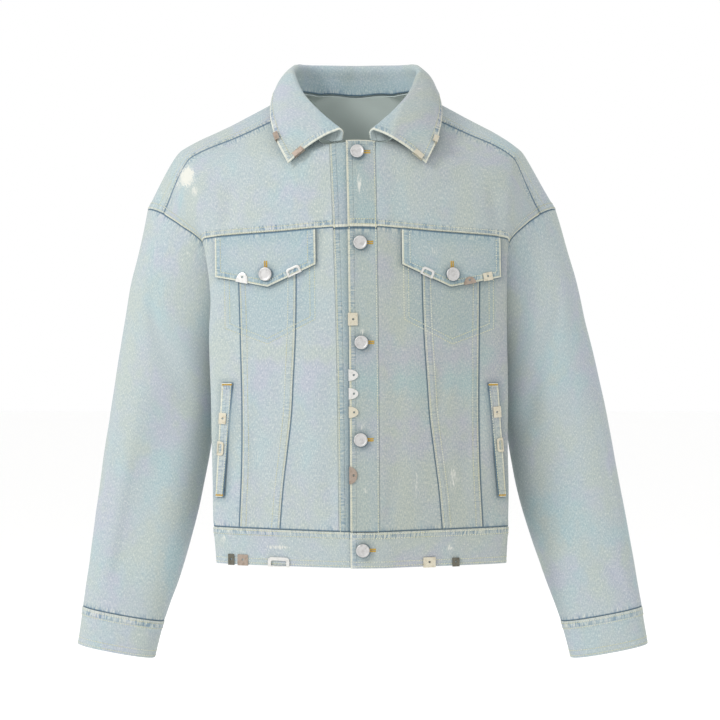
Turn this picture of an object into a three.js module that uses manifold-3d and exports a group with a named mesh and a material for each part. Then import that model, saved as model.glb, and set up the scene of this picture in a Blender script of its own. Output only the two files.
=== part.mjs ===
// A worn denim jacket as a hollow shell of sewn panels, in millimetres, +Z up, its front towards -Y.
// Left and right are the wearer's: the wearer's left is at +X, and the left front laps over the right.
// The origin is at the height of the shoulders, in the middle of the neck.
import * as THREE from "three";
import { mergeVertices } from "three/addons/utils/BufferGeometryUtils.js";
import Module from "manifold-3d";

const wasm = await Module();
wasm.setup();

// Cloth and seams
const PLY = 1.5; // one ply of heavy denim, with its felled seams evened out
const DOUBLE = 2.4; // folded double: waistband, cuffs, collar, plackets and flaps
const SEAM_GAP = 0.3; // between neighbouring pieces
const LAID_GAP = 0.6; // between a panel and what lies on it
const FOLD_RADIUS = 12; // the soft crease down each side of the chest

// Half of the body as one sheet, from the front hem over the shoulder to the back hem.
// Each row has three stations: c at the centre or the neckline, f at the side fold, and e at the side seam
// or the armhole.
const ROWS = [
  { row: "front hem", cx: 0, cy: -112, cz: -634, fx: 202, fy: -78, fz: -630, ex: 158, ey: 10, ez: -629 },
  { row: "front waist seam", cx: 0, cy: -118, cz: -585, fx: 205, fy: -80, fz: -580, ex: 160, ey: 12, ez: -580 },
  { row: "front waist", cx: 0, cy: -123, cz: -461, fx: 206, fy: -80, fz: -460, ex: 160, ey: 14, ez: -459 },
  { row: "front underarm", cx: 0, cy: -127, cz: -340, fx: 207, fy: -80, fz: -340, ex: 170, ey: 18, ez: -335 },
  { row: "front low armhole", cx: 0, cy: -128, cz: -256, fx: 208, fy: -80, fz: -262, ex: 184, ey: -38, ez: -272 },
  { row: "front yoke seam", cx: 0, cy: -126, cz: -172, fx: 210, fy: -80, fz: -186, ex: 209, ey: -54, ez: -192 },
  { row: "upper chest", cx: 0, cy: -120, cz: -114, fx: 213, fy: -78, fz: -134, ex: 238, ey: -46, ez: -166 },
  { row: "front neck", cx: 0, cy: -108, cz: -57, fx: 219, fy: -70, fz: -96, ex: 252, ey: -37, ez: -156 },
  { row: "neck side", cx: 60, cy: -78, cz: -36, fx: 223, fy: -60, fz: -82, ex: 258, ey: -31, ez: -152 },
  { row: "shoulder seam", cx: 80, cy: -34, cz: -4, fx: 225, fy: -46, fz: -72, ex: 262, ey: -24, ez: -149 },
  { row: "shoulder crest", cx: 86, cy: 2, cz: 21, fx: 241, fy: 8, fz: -60, ex: 286, ey: 10, ez: -141 },
  { row: "back neck side", cx: 60, cy: 52, cz: 24, fx: 234, fy: 46, fz: -66, ex: 284, ey: 44, ez: -152 },
  { row: "back neck", cx: 0, cy: 72, cz: 22, fx: 218, fy: 80, fz: -98, ex: 268, ey: 70, ez: -178 },
  { row: "back yoke seam", cx: 0, cy: 108, cz: -112, fx: 196, fy: 94, fz: -146, ex: 238, ey: 76, ez: -214 },
  { row: "back low armhole", cx: 0, cy: 118, cz: -232, fx: 168, fy: 94, fz: -246, ex: 198, ey: 66, ez: -282 },
  { row: "back underarm", cx: 0, cy: 116, cz: -338, fx: 150, fy: 86, fz: -340, ex: 170, ey: 18, ez: -335 },
  { row: "back waist", cx: 0, cy: 105, cz: -460, fx: 146, fy: 76, fz: -460, ex: 160, ey: 14, ez: -459 },
  { row: "back waist seam", cx: 0, cy: 99, cz: -582, fx: 146, fy: 70, fz: -581, ex: 160, ey: 12, ez: -580 },
  { row: "back hem", cx: 0, cy: 96, cz: -632, fx: 144, fy: 68, fz: -631, ex: 158, ey: 10, ez: -629 },
];
const T = Object.fromEntries(ROWS.map((r, i) => [r.row, i]));
const WAIST_SEAM = T["front waist seam"];
const UNDERARM = T["front underarm"];
const YOKE_SEAM = T["front yoke seam"];
const NECK = T["front neck"];
const NECK_SIDE = T["neck side"];
const SHOULDER = T["shoulder seam"];
const BACK_NECK_SIDE = T["back neck side"];
const BACK_NECK = T["back neck"];
const BACK_YOKE_SEAM = T["back yoke seam"];
const BACK_UNDERARM = T["back underarm"];
const BACK_WAIST_SEAM = T["back waist seam"];
const BACK_HEM = T["back hem"];
const BOW = 0.3; // how far the middle of a row stands forward of its chord, as a share of the chord's depth
const ACROSS = [0, 0.38, 0.7, 0.76, 0.82, 1]; // centre, middle, before the fold, the fold, past it, side
const FOLD_START = ACROSS[2];
const FOLD_END = ACROSS[4];

// How the jacket hangs a little to the wearer's right: a shift in X by height, more of it in the sleeves
const LEAN = { z: [-640, -350, -180, 0, 100], shift: [0, -2, -4, -7.5, -8] };
const SWAY = { z: [-780, -697, -540, -423, -265, -187, -50, 0], shift: [2, 1.4, -1.3, -3.4, -6.8, -8, -8, -3] };
const SWAY_FROM = 170;
const SWAY_FULL = 250;

// Seam lines of a front panel, in X at a height
const INNER_SEAM = { z: [-585, -522, -478, -428, -380, -320, -170], x: [111, 105.5, 100, 94, 91, 87.5, 85] };
const OUTER_SEAM = { z: [-585, -497, -406, -340, -170], x: [165, 161, 160, 161, 164] };

// Plackets: the left one lies on top and covers the centre front
const PLACKET_EDGE = 14.5; // past the centre, on the wearer's right
const PLACKET_SEAM = 25;
const UNDER_PLACKET = { z: [-585, -300, -190, -57], x: [30, 32, 34, 37] };

// Chest pockets with pointed flaps, on each side
const FLAP = { x: [58, 123, 193], z: [-224, -254, -240] };
const POUCH = { x: [60, 125, 183], z: [-298, -331, -310] };
const POUCH_TOP = 8; // below the yoke seam
// Side pockets with a slanting welt
const WELT = { topX: 172, topZ: -384, topWidth: 15, footX: 186, footZ: -539, footWidth: 11 };

// Sleeve: each row gives the outer and the inner edge as seen from the front, and the depth at the middle
const SLEEVE = [
  { row: "cap", outX: 306, outZ: -222, inX: 190, inZ: -351, y: 13, deep: 62 },
  { row: "upper arm", outX: 322, outZ: -298, inX: 195, inZ: -394, y: 14, deep: 58 },
  { row: "above elbow", outX: 337, outZ: -368, inX: 204, inZ: -440, y: 15, deep: 55 },
  { row: "elbow", outX: 353, outZ: -454, inX: 214, inZ: -500, y: 15, deep: 51 },
  { row: "forearm", outX: 367, outZ: -541, inX: 230, inZ: -572, y: 13, deep: 46 },
  { row: "lower arm", outX: 381, outZ: -630, inX: 255, inZ: -654, y: 9, deep: 40 },
  { row: "cuff seam", outX: 391.5, outZ: -697, inX: 278, inZ: -718, y: 5, deep: 35 },
  { row: "cuff edge", outX: 399, outZ: -749, inX: 291, inZ: -769, y: 3, deep: 33 },
];
const SLEEVE_SQUARE = 2.35; // 2 is an ellipse, more is a flatter front and back
const CUFF_SEAM = SLEEVE.length - 1;
const CUFF_EDGE = SLEEVE.length;

// Collar: r is the roll it folds over at and o its outer edge, at stations from the centre back to the front
const COLLAR = [
  { at: 0, rx: 0, ry: 80, rz: 68, ox: 0, oy: 116, oz: 14 },
  { at: 0.2, rx: 60, ry: 66, rz: 67, ox: 82, oy: 96, oz: 12 },
  { at: 0.36, rx: 86, ry: 24, rz: 62, ox: 113, oy: 44, oz: 20 },
  { at: 0.5, rx: 88, ry: -16, rz: 44, ox: 117, oy: -18, oz: 7 },
  { at: 0.64, rx: 76, ry: -52, rz: 16, ox: 117, oy: -63, oz: -21 },
  { at: 0.8, rx: 52, ry: -86, rz: -13, ox: 109, oy: -103, oz: -54 },
  { at: 1, rx: 22, ry: -114, rz: -42, ox: 93, oy: -120, oz: -88 },
];
const COLLAR_END = 19; // from the centre front
const COLLAR_FOOT = 2.4; // from the neckline up to the foot of the stand
const ROLL_RADIUS = 3;
const FALL_BOW = 5; // how far the fall stands off the straight line from the roll to its edge

// Shank buttons: five down the front, one on each flap
const BUTTON = { radius: 9.6, rim: 1.1, shank: 4.2, rise: 1.7, height: 4.2, sides: 12 };
const FRONT_BUTTONS = [
  { name: "button_neck", x: 0.5, z: -73 },
  { name: "button_yoke", x: 2, z: -195 },
  { name: "button_chest", x: 2, z: -329 },
  { name: "button_waist", x: 0, z: -460 },
  { name: "button_band", x: 2, z: -609 },
];
const FLAP_BUTTON = { x: 125, z: -237 };

// Plain metal clips bent over cloth edges. Each lies at a height on a placket or a welt, or at an X on a flap
// or the hem. On the collar it lies at a share of the outer edge from the centre back, or of the front edge
// from the roll.
const METAL = 0.8;
const CLIP_REACH = 6; // behind a free edge
const CLIP_SLACK = 1.2; // behind the cloth
const CLIP_HOLE = 1.6; // radius
const COLLAR_BEND = 1.2; // how far the collar's edge bends away from a clip's flat plates
const CLIPS = [
  { name: "clip_flap_right_disc", on: "flap", side: -1, at: 158, shape: "disc", wide: 18, high: 13 },
  { name: "clip_flap_right_arch", on: "flap", side: -1, at: 86, shape: "arch", wide: 20, high: 10, bar: 3 },
  { name: "clip_flap_left_arch", on: "flap", side: 1, at: 90, shape: "arch", wide: 18, high: 10, bar: 3 },
  { name: "clip_flap_left_disc", on: "flap", side: 1, at: 149, shape: "disc", wide: 18, high: 9 },
  { name: "clip_flap_left_tab", on: "flap", side: 1, at: 174, shape: "tab", wide: 14, high: 10 },
  { name: "clip_placket_tab", on: "placket", side: -1, at: -298, shape: "tab", wide: 17, high: 12 },
  { name: "clip_placket_disc_upper", on: "placket", side: -1, at: -373, shape: "disc", wide: 15.6, high: 12 },
  { name: "clip_placket_disc_middle", on: "placket", side: -1, at: -398, shape: "disc", wide: 15.6, high: 12 },
  { name: "clip_placket_disc_lower", on: "placket", side: -1, at: -423, shape: "disc", wide: 15.6, high: 12 },
  { name: "clip_placket_disc_long", on: "placket", side: -1, at: -508, shape: "disc", wide: 24, high: 10 },
  { name: "clip_welt_right_tab", on: "welt", side: -1, at: -432, shape: "tab", wide: 15, high: 10 },
  { name: "clip_welt_right_arch", on: "welt", side: -1, at: -473, shape: "arch", wide: 19, high: 9, bar: 3 },
  { name: "clip_welt_left_tab", on: "welt", side: 1, at: -423, shape: "tab", wide: 15, high: 11 },
  { name: "clip_welt_left_arch", on: "welt", side: 1, at: -468, shape: "arch", wide: 19, high: 9, bar: 3 },
  { name: "clip_hem_right_narrow", on: "hem", side: -1, at: 177, shape: "tab", wide: 9, high: 14 },
  { name: "clip_hem_right_tab", on: "hem", side: -1, at: 161, shape: "tab", wide: 15, high: 14 },
  { name: "clip_hem_right_arch", on: "hem", side: -1, at: 112, shape: "arch", wide: 30, high: 12, bar: 4.5 },
  { name: "clip_hem_left_tab", on: "hem", side: 1, at: 92, shape: "tab", wide: 17, high: 13 },
  { name: "clip_hem_left_narrow", on: "hem", side: 1, at: 128, shape: "tab", wide: 10, high: 11 },
  { name: "clip_collar_right_disc", on: "collar edge", side: -1, at: 0.79, shape: "disc", wide: 17, high: 10 },
  { name: "clip_collar_right_arch", on: "collar front", side: -1, at: 0.62, shape: "arch", wide: 18, high: 9, bar: 3 },
  { name: "clip_collar_left_arch", on: "collar front", side: 1, at: 0.7, shape: "arch", wide: 16, high: 8, bar: 3 },
  { name: "clip_collar_left_tab", on: "collar edge", side: 1, at: 0.81, shape: "tab", wide: 14, high: 9 },
];

const lerp = (a, b, u) => a + (b - a) * u;
const clamp = (v, low, high) => Math.min(Math.max(v, low), high);
const smooth = (v, from, to) => {
  const u = clamp((v - from) / (to - from), 0, 1);
  return u * u * (3 - 2 * u);
};

// The slope at each knot of a smooth curve through values, numbers or vectors
function slopes(knots, values) {
  const minus = (a, b, h) => a.map((v, k) => (v - b[k]) / h);
  const steps = knots.slice(1).map((k, i) => minus(values[i + 1], values[i], k - knots[i]));
  return knots.map((k, i) => {
    if (i === 0) return steps[0];
    if (i === knots.length - 1) return steps[i - 1];
    const before = k - knots[i - 1];
    const after = knots[i + 1] - k;
    return steps[i].map((v, n) => (steps[i - 1][n] * after + v * before) / (before + after));
  });
}

// A point of the curve with those values and slopes
function hermite(knots, values, tangents, at) {
  let i = 0;
  while (i < knots.length - 2 && at > knots[i + 1]) i += 1;
  const h = knots[i + 1] - knots[i];
  const u = (at - knots[i]) / h;
  const a = (1 + 2 * u) * (1 - u) ** 2;
  const b = u * u * (3 - 2 * u);
  const c = u * (1 - u) ** 2 * h;
  const d = u * u * (u - 1) * h;
  return values[i].map((v, n) => a * v + b * values[i + 1][n] + c * tangents[i][n] + d * tangents[i + 1][n]);
}

function curve(knots, values, settle = (slope) => slope) {
  const points = values.map((v) => (Array.isArray(v) ? v : [v]));
  const tangents = slopes(knots, points).map(settle);
  return (at) => hermite(knots, points, tangents, clamp(at, knots[0], knots.at(-1)));
}

const table = (knots, values) => {
  const order = knots.map((k, i) => [k, values[i]]).sort((a, b) => a[0] - b[0]);
  const made = curve(order.map((o) => o[0]), order.map((o) => o[1]));
  return (at) => made(at)[0];
};

const lean = table(LEAN.z, LEAN.shift);
const sway = table(SWAY.z, SWAY.shift);

// A point of the evenly cut jacket as it hangs
function hung([x, y, z]) {
  return new THREE.Vector3(x + lean(z) + sway(z) * smooth(Math.abs(x), SWAY_FROM, SWAY_FULL), y, z);
}

// The stations of a row: the fold is rounded by a point on each side of it
function stations(r) {
  const c = new THREE.Vector3(r.cx, r.cy, r.cz);
  const f = new THREE.Vector3(r.fx, r.fy, r.fz);
  const e = new THREE.Vector3(r.ex, r.ey, r.ez);
  const middle = c.clone().lerp(f, 0.52);
  middle.y += (c.y - f.y) * BOW;
  const before = f.clone().add(middle.clone().sub(f).setLength(FOLD_RADIUS));
  const past = f.clone().add(e.clone().sub(f).setLength(FOLD_RADIUS));
  const fold = before.clone().add(past).multiplyScalar(0.25).addScaledVector(f, 0.5);
  return [c, middle, before, fold, past, e].map((p) => p.toArray());
}

const rowPoints = ROWS.map(stations);
const rowSlopes = rowPoints.map((points, i) => {
  const made = slopes(ACROSS, points);
  if (ROWS[i].cx === 0) made[0] = [made[0][0], 0, 0];
  // The front and the back meet smoothly at the side seam, and the rows just above it lead over to that.
  const other = rowPoints[BACK_HEM - i];
  const reach = 2 * (ACROSS[5] - ACROSS[4]);
  const share = clamp(Math.max(UNDERARM + 2 - i, i - BACK_UNDERARM + 2) / 2, 0, 1);
  made[5] = made[5].map((v, n) => lerp(v, (other[4][n] - points[4][n]) / reach, share));
  return made;
});
const along = [0];
for (let i = 1; i < ROWS.length; i += 1) {
  const [p, q] = [rowPoints[i - 1][3], rowPoints[i][3]].map((v) => new THREE.Vector3(...v));
  along.push(along[i - 1] + p.distanceTo(q));
}
for (let i = BACK_UNDERARM + 1; i <= BACK_HEM; i += 1)
  along[i] = along[i - 1] + along[BACK_HEM - i + 1] - along[BACK_HEM - i];

// The sheet crosses the centre squarely, and the side seam runs on below the armhole as it does down the side.
function settled(k, points) {
  return (slope, i) => {
    if (k === 0 && ROWS[i].cx === 0) return [0, slope[1], slope[2]];
    if (k !== 5 || (i !== UNDERARM && i !== BACK_UNDERARM)) return slope;
    const low = i === UNDERARM ? i - 1 : i;
    return points[low].map((v, n) => (points[low + 1][n] - v) / (along[low + 1] - along[low]));
  };
}
const columnPoints = ACROSS.map((_, k) => {
  const points = rowPoints.map((r) => r[k]);
  return curve(along, points, settled(k, points));
});
const columnSlopes = ACROSS.map((_, k) => curve(along, rowSlopes.map((r) => r[k])));

// The evenly cut sheet at a, from 0 at the centre to 1 at the side, and t, a row number
function sheet(a, t) {
  const i = clamp(Math.floor(t), 0, ROWS.length - 2);
  const at = lerp(along[i], along[i + 1], t - i);
  return hermite(ACROSS, columnPoints.map((c) => c(at)), columnSlopes.map((c) => c(at)), clamp(a, 0, 1));
}

// The a at which a row has that X
function acrossAt(x, t) {
  let [low, high] = [0, ACROSS[3]];
  for (let n = 0; n < 40; n += 1) {
    const middle = (low + high) / 2;
    if (sheet(middle, t)[0] < x) low = middle;
    else high = middle;
  }
  return low;
}

// The place on the front at that X and height
function locate(x, z) {
  let [a, t] = [acrossAt(x, 3), 3];
  for (let n = 0; n < 8; n += 1) {
    let [low, high] = [0, NECK + 0.9];
    for (let m = 0; m < 40; m += 1) {
      const middle = (low + high) / 2;
      if (sheet(a, middle)[2] < z) low = middle;
      else high = middle;
    }
    t = low;
    a = acrossAt(x, t);
  }
  return { a, t };
}

// The body's surface on one side, +1 for the wearer's left, moved out by a distance
function onBody(side, a, t) {
  const [x, y, z] = sheet(a, t);
  return hung([side * x, y, z]);
}

const STEP = 0.004;
function normalOf(surface, u, v, low, high) {
  const [u0, u1] = [clamp(u - STEP, low[0], high[0]), clamp(u + STEP, low[0], high[0])];
  const [v0, v1] = [clamp(v - STEP, low[1], high[1]), clamp(v + STEP, low[1], high[1])];
  const du = surface(u1, v).sub(surface(u0, v));
  const dv = surface(u, v1).sub(surface(u, v0));
  return du.cross(dv).normalize();
}

function bodyNormal(side, a, t) {
  const half = (hand) => {
    const n = normalOf((u, v) => onBody(hand, u, v), a, t, [0, 0], [1, BACK_HEM]);
    return n.multiplyScalar(hand);
  };
  const n = half(side);
  // On the centre line the two halves share one normal.
  return a > 0 || (t > NECK && t < BACK_NECK) ? n : n.add(half(-side)).normalize();
}

// The sleeve's rings run from the armhole, where t goes from the front underarm over the shoulder to the back.
const LOOP_STEPS = 240;
const loop = Array.from({ length: LOOP_STEPS + 1 }, (_, i) => {
  const t = lerp(UNDERARM, BACK_UNDERARM, i / LOOP_STEPS);
  return { t, p: new THREE.Vector3(...sheet(1, t)), far: 0 };
});
for (let i = 1; i <= LOOP_STEPS; i += 1) loop[i].far = loop[i - 1].far + loop[i].p.distanceTo(loop[i - 1].p);
const shareOfLoop = table(loop.map((l) => l.t), loop.map((l) => l.far / loop[LOOP_STEPS].far));

function ringPoint(r, share) {
  const angle = Math.PI - 2 * Math.PI * share;
  const power = 2 / SLEEVE_SQUARE;
  const wide = Math.sign(Math.cos(angle)) * Math.abs(Math.cos(angle)) ** power;
  const deep = Math.sign(Math.sin(angle)) * Math.abs(Math.sin(angle)) ** power;
  const x = (r.outX + r.inX) / 2 + (wide * (r.outX - r.inX)) / 2;
  const z = (r.outZ + r.inZ) / 2 + (wide * (r.outZ - r.inZ)) / 2;
  return [x, r.y - deep * r.deep, z];
}

const sleeveKnots = [0];
for (let i = 0; i < SLEEVE.length; i += 1) {
  const from = i ? SLEEVE[i - 1] : { outX: 283, outZ: -142, inX: 170, inZ: -335 };
  const middle = (r) => new THREE.Vector2((r.outX + r.inX) / 2, (r.outZ + r.inZ) / 2);
  sleeveKnots.push(sleeveKnots[i] + middle(from).distanceTo(middle(SLEEVE[i])));
}

const sleeveCurves = new Map();
function onSleeve(side, t, s) {
  if (!sleeveCurves.has(t)) {
    const share = shareOfLoop(t);
    sleeveCurves.set(t, curve(sleeveKnots, [sheet(1, t), ...SLEEVE.map((r) => ringPoint(r, share))]));
  }
  const i = clamp(Math.floor(s), 0, SLEEVE.length - 1);
  const [x, y, z] = sleeveCurves.get(t)(lerp(sleeveKnots[i], sleeveKnots[i + 1], s - i));
  return hung([side * x, y, z]);
}

function sleeveNormal(side, t, s) {
  const span = BACK_UNDERARM - UNDERARM;
  const around = (u) => UNDERARM + (((u - UNDERARM) % span) + span) % span;
  const surface = (u, v) => onSleeve(side, around(u), v);
  const n = normalOf(surface, t, s, [-99, 0], [99, CUFF_EDGE]);
  return n.multiplyScalar(-side);
}

// Walls that meet at the armhole or the side seam end on the line halfway between their own normals.
function edgeNormal(side, t) {
  const n = bodyNormal(side, 1, t);
  if (t <= UNDERARM || t >= BACK_UNDERARM) n.add(bodyNormal(side, 1, BACK_HEM - t)).normalize();
  if (t >= UNDERARM && t <= BACK_UNDERARM) n.add(sleeveNormal(side, t === BACK_UNDERARM ? UNDERARM : t, 0));
  return n.normalize();
}

// One closed wall from two grids of points, [row][column]; open lists the edges that join another grid
function wallFaces(outer, inner, { closed = false, open = () => false } = {}) {
  const faces = [];
  const quad = (a, b, c, d) => faces.push(a, b, c, a, c, d);
  const [m, n] = [outer.length - 1, outer[0].length - 1];
  for (let i = 0; i < m; i += 1)
    for (let j = 0; j < n; j += 1) {
      quad(outer[i][j], outer[i][j + 1], outer[i + 1][j + 1], outer[i + 1][j]);
      quad(inner[i][j], inner[i + 1][j], inner[i + 1][j + 1], inner[i][j + 1]);
    }
  for (let j = 0; j < n; j += 1) {
    quad(outer[0][j], inner[0][j], inner[0][j + 1], outer[0][j + 1]);
    quad(outer[m][j], outer[m][j + 1], inner[m][j + 1], inner[m][j]);
  }
  if (!closed)
    for (let i = 0; i < m; i += 1) {
      if (!open("start", i)) quad(outer[i][0], outer[i + 1][0], inner[i + 1][0], inner[i][0]);
      if (!open("end", i)) quad(outer[i][n], inner[i][n], inner[i + 1][n], outer[i + 1][n]);
    }
  return faces;
}

function geometryOf(faces) {
  let volume = 0;
  for (let i = 0; i < faces.length; i += 3) volume += faces[i].dot(faces[i + 1].clone().cross(faces[i + 2]));
  const turned = [];
  for (let i = 0; i < faces.length; i += 3) {
    const [a, b, c] = faces.slice(i, i + 3);
    turned.push(...(volume < 0 ? [a, c, b] : [a, b, c]));
  }
  return mergeVertices(new THREE.BufferGeometry().setFromPoints(turned), 1e-3);
}

// Materials
const cloth = (color) => new THREE.MeshStandardMaterial({ color, roughness: 0.9, side: THREE.DoubleSide });
const denim = cloth(0xc3d3d8);
const denimDouble = cloth(0xb5cad3);
const steel = new THREE.MeshStandardMaterial({ color: 0xc9c8c6, roughness: 0.35, metalness: 0.9 });
const jacket = new THREE.Group();
jacket.name = "denim_jacket";

function add(name, geometry, material) {
  const mesh = new THREE.Mesh(geometry, material);
  mesh.name = name;
  jacket.add(mesh);
  return mesh;
}

const even = (from, to, count) => Array.from({ length: count + 1 }, (_, i) => lerp(from, to, i / count));
const join = (...lists) => lists.reduce((all, list) => [...all, ...(all.length ? list.slice(1) : list)], []);

// Rows of the body grid, which neighbouring panels share
const SIDE_ROWS = join(even(1, 2, 2), even(2, 3, 3));
const LOWER_ROWS = join(SIDE_ROWS, even(3, 4, 3), even(4, 5, 2));
const CHEST_ROWS = [5, 5.5, 6, 6.4, 6.7, 7];
const YOKE_ROWS = join(CHEST_ROWS, [7, 7.1, 7.4, 7.7, 8], even(8, 9, 2));
const BACK_YOKE_ROWS = join(even(9, 11, 4), [11, 11.3, 11.65, 11.9, 12], even(12, 13, 2));
const BACK_ROWS = join(even(13, 14, 2), even(14, 15, 3), SIDE_ROWS.map((t) => BACK_HEM - t).reverse());
const SIDE_COLUMNS = join(even(FOLD_START, FOLD_END, 3), even(FOLD_END, 1, 3));

// The a of the neckline or, below it, of the panel's edge at that X
function neckEdge(t, edgeX) {
  const x0 = edgeX(sheet(0, Math.min(t, NECK))[2]);
  if (t <= NECK) return acrossAt(x0, t);
  if (t < NECK_SIDE) return acrossAt(lerp(x0, ROWS[NECK_SIDE].cx, Math.sqrt(t - NECK)), t);
  if (t > BACK_NECK_SIDE && t < BACK_NECK) {
    return acrossAt(ROWS[BACK_NECK_SIDE].cx * Math.sqrt(BACK_NECK - t), t);
  }
  return 0;
}

const innerSeam = table(INNER_SEAM.z, INNER_SEAM.x);
const outerSeam = table(OUTER_SEAM.z, OUTER_SEAM.x);
const underPlacket = table(UNDER_PLACKET.z, UNDER_PLACKET.x);
const seamAt = (seam) => (t) => acrossAt(seam(sheet(0.4, t)[2]), t);
const edgeX = { 1: () => PLACKET_SEAM, [-1]: underPlacket };

// A panel's wall: columns(t) gives its a values in a row, and each edge stops short of the seam by half the
// gap, except at a centre line that joins the panel's other half.
function panelWall(side, rows, columns, { joined = false, open } = {}) {
  const half = SEAM_GAP / 2;
  const outer = [];
  const inner = [];
  rows.forEach((row, i) => {
    const all = columns(row);
    const last = all.length - 1;
    const stop = (t, a) => {
      const far = onBody(side, a, clamp(t + STEP, 0, BACK_HEM)).distanceTo(onBody(side, a, t - STEP));
      return (half * 2 * STEP) / far;
    };
    const points = all.map((a, j) => {
      let [u, t] = [a, row];
      if (i === 0) t += stop(row, a);
      if (i === rows.length - 1) t -= stop(row, a);
      const [before, after] = [clamp(a - STEP, 0, 1), clamp(a + STEP, 0, 1)];
      const pace = onBody(side, after, row).distanceTo(onBody(side, before, row));
      const nudge = (half * (after - before)) / pace;
      if (j === 0 && !joined) u += nudge;
      if (j === last) u -= nudge;
      const p = onBody(side, u, t);
      const n = a === 1 ? edgeNormal(side, row) : bodyNormal(side, u, t);
      return { p, n };
    });
    outer.push(points.map(({ p }) => p));
    inner.push(points.map(({ p, n }) => p.clone().addScaledVector(n, -PLY)));
  });
  return wallFaces(outer, inner, { open });
}

for (const [side, hand] of [[1, "left"], [-1, "right"]]) {
  const edge = (t) => neckEdge(t, edgeX[side]);
  const [inner, outer] = [seamAt(innerSeam), seamAt(outerSeam)];
  const panels = [
    ["front_centre", (t) => even(edge(t), inner(t), 3)],
    ["front_middle", (t) => even(inner(t), outer(t), 3)],
    ["front_side", (t) => join(even(outer(t), FOLD_START, 3), SIDE_COLUMNS)],
  ];
  for (const [name, columns] of panels)
    add(`${name}_${hand}`, geometryOf(panelWall(side, LOWER_ROWS, columns)), denim);

  // The yoke's columns start from the ones below it and follow the neckline as it opens.
  const atSeam = join(...panels.map(([, columns]) => columns(YOKE_SEAM)));
  const yoke = (t) => atSeam.map((a) => {
    const share = (a - atSeam[0]) / (FOLD_START - atSeam[0]);
    return share < 1 ? lerp(edge(t), FOLD_START, share) : a;
  });
  add(`front_yoke_${hand}`, geometryOf(panelWall(side, YOKE_ROWS, yoke)), denim);
}

// Back yoke and back panel: two mirrored halves joined at the centre back
function backPiece(name, rows, lapStart) {
  const columns = (t) => join(even(neckEdge(t, () => 0), FOLD_START, 6), SIDE_COLUMNS);
  const faces = [1, -1].flatMap((side) => {
    const half = panelWall(side, rows, columns, {
      joined: true,
      open: (edge, i) => edge === "start" && rows[i] >= lapStart,
    });
    // A mirrored half faces the other way.
    return side > 0 ? half : half.flatMap((_, i) => (i % 3 ? [] : [half[i], half[i + 2], half[i + 1]]));
  });
  add(name, geometryOf(faces), denim);
}
backPiece("back_yoke", BACK_YOKE_ROWS, BACK_NECK);
backPiece("back_panel", BACK_ROWS, BACK_YOKE_SEAM);

// A strip across the centre front, from one X to another
function strip(rows, fromX, toX, count, out, thick, gaps = {}) {
  const outer = [];
  const inner = [];
  for (const row of rows) {
    const points = even(fromX(row), toX(row), count).map((x, j) => {
      const side = x < 0 ? -1 : 1;
      const inset = (j === 0 ? gaps.start ?? 0 : 0) - (j === count ? gaps.end ?? 0 : 0);
      const a = acrossAt(Math.abs(x + inset), row);
      const t = row + (row === rows[0] ? STEP : 0) - (row === rows.at(-1) ? STEP : 0);
      return { p: onBody(side, a, t), n: bodyNormal(side, Math.max(a, 0.002), t) };
    });
    outer.push(points.map(({ p, n }) => p.clone().addScaledVector(n, out)));
    inner.push(points.map(({ p, n }) => p.clone().addScaledVector(n, out - thick)));
  }
  return geometryOf(wallFaces(outer, inner));
}

const PLACKET_ROWS = join(LOWER_ROWS, CHEST_ROWS);
const PLACKET_TOP = LAID_GAP + DOUBLE; // its outer face, above the panels
const half = SEAM_GAP / 2;
const underStart = (t) => -underPlacket(sheet(0, t)[2]);
const under = strip(PLACKET_ROWS, underStart, () => PLACKET_SEAM, 4, 0, PLY, { start: half, end: half });
add("placket_right", under, denimDouble);
const over = strip(PLACKET_ROWS, () => -PLACKET_EDGE, () => PLACKET_SEAM, 3, PLACKET_TOP, DOUBLE);
add("placket_left", over, denimDouble);

// The waistband runs once round; its left end is raised to lie over the right one.
const LAP_FROM = 70;
const lapLift = (x) => PLACKET_TOP * (1 - smooth(x, PLACKET_SEAM + 4, LAP_FROM));
const BAND_COLUMNS = {
  1: [-PLACKET_EDGE, 5, PLACKET_SEAM, 38, 52, LAP_FROM, 110, 155],
  [-1]: [-PLACKET_SEAM, 5, 30, LAP_FROM, 110, 155],
};
function waistband() {
  const front = (side) => [
    ...BAND_COLUMNS[side].map((v) => {
      return { side: side * Math.sign(v), x: Math.abs(v), lift: side > 0 ? lapLift(v) : 0 };
    }),
    ...SIDE_COLUMNS.map((a) => ({ side, a, lift: 0 })),
  ];
  const round = join(SIDE_COLUMNS.slice(0, -1).reverse(), even(FOLD_START, 0, 4));
  const back = (side) => round.map((a) => ({ side, a, lift: 0, behind: true }));
  const columns = [...front(1), ...back(1), ...back(-1).reverse().slice(1), ...front(-1).reverse()];
  const rows = even(0, WAIST_SEAM, 2);
  const [outer, inner] = [[], []];
  for (const row of rows) {
    const t0 = row === WAIST_SEAM ? row - STEP * 1.5 : row;
    const points = columns.map(({ side, x, a, lift, behind }) => {
      const t = behind ? BACK_HEM - t0 : t0;
      const u = a ?? acrossAt(x, t);
      const n = bodyNormal(side, clamp(u, 0.002, 1), t);
      return { p: onBody(side, u, t).addScaledVector(n, lift), n };
    });
    outer.push(points.map(({ p }) => p));
    inner.push(points.map(({ p, n }) => p.clone().addScaledVector(n, -DOUBLE)));
  }
  add("waistband", geometryOf(wallFaces(outer, inner)), denimDouble);
}
waistband();

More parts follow.
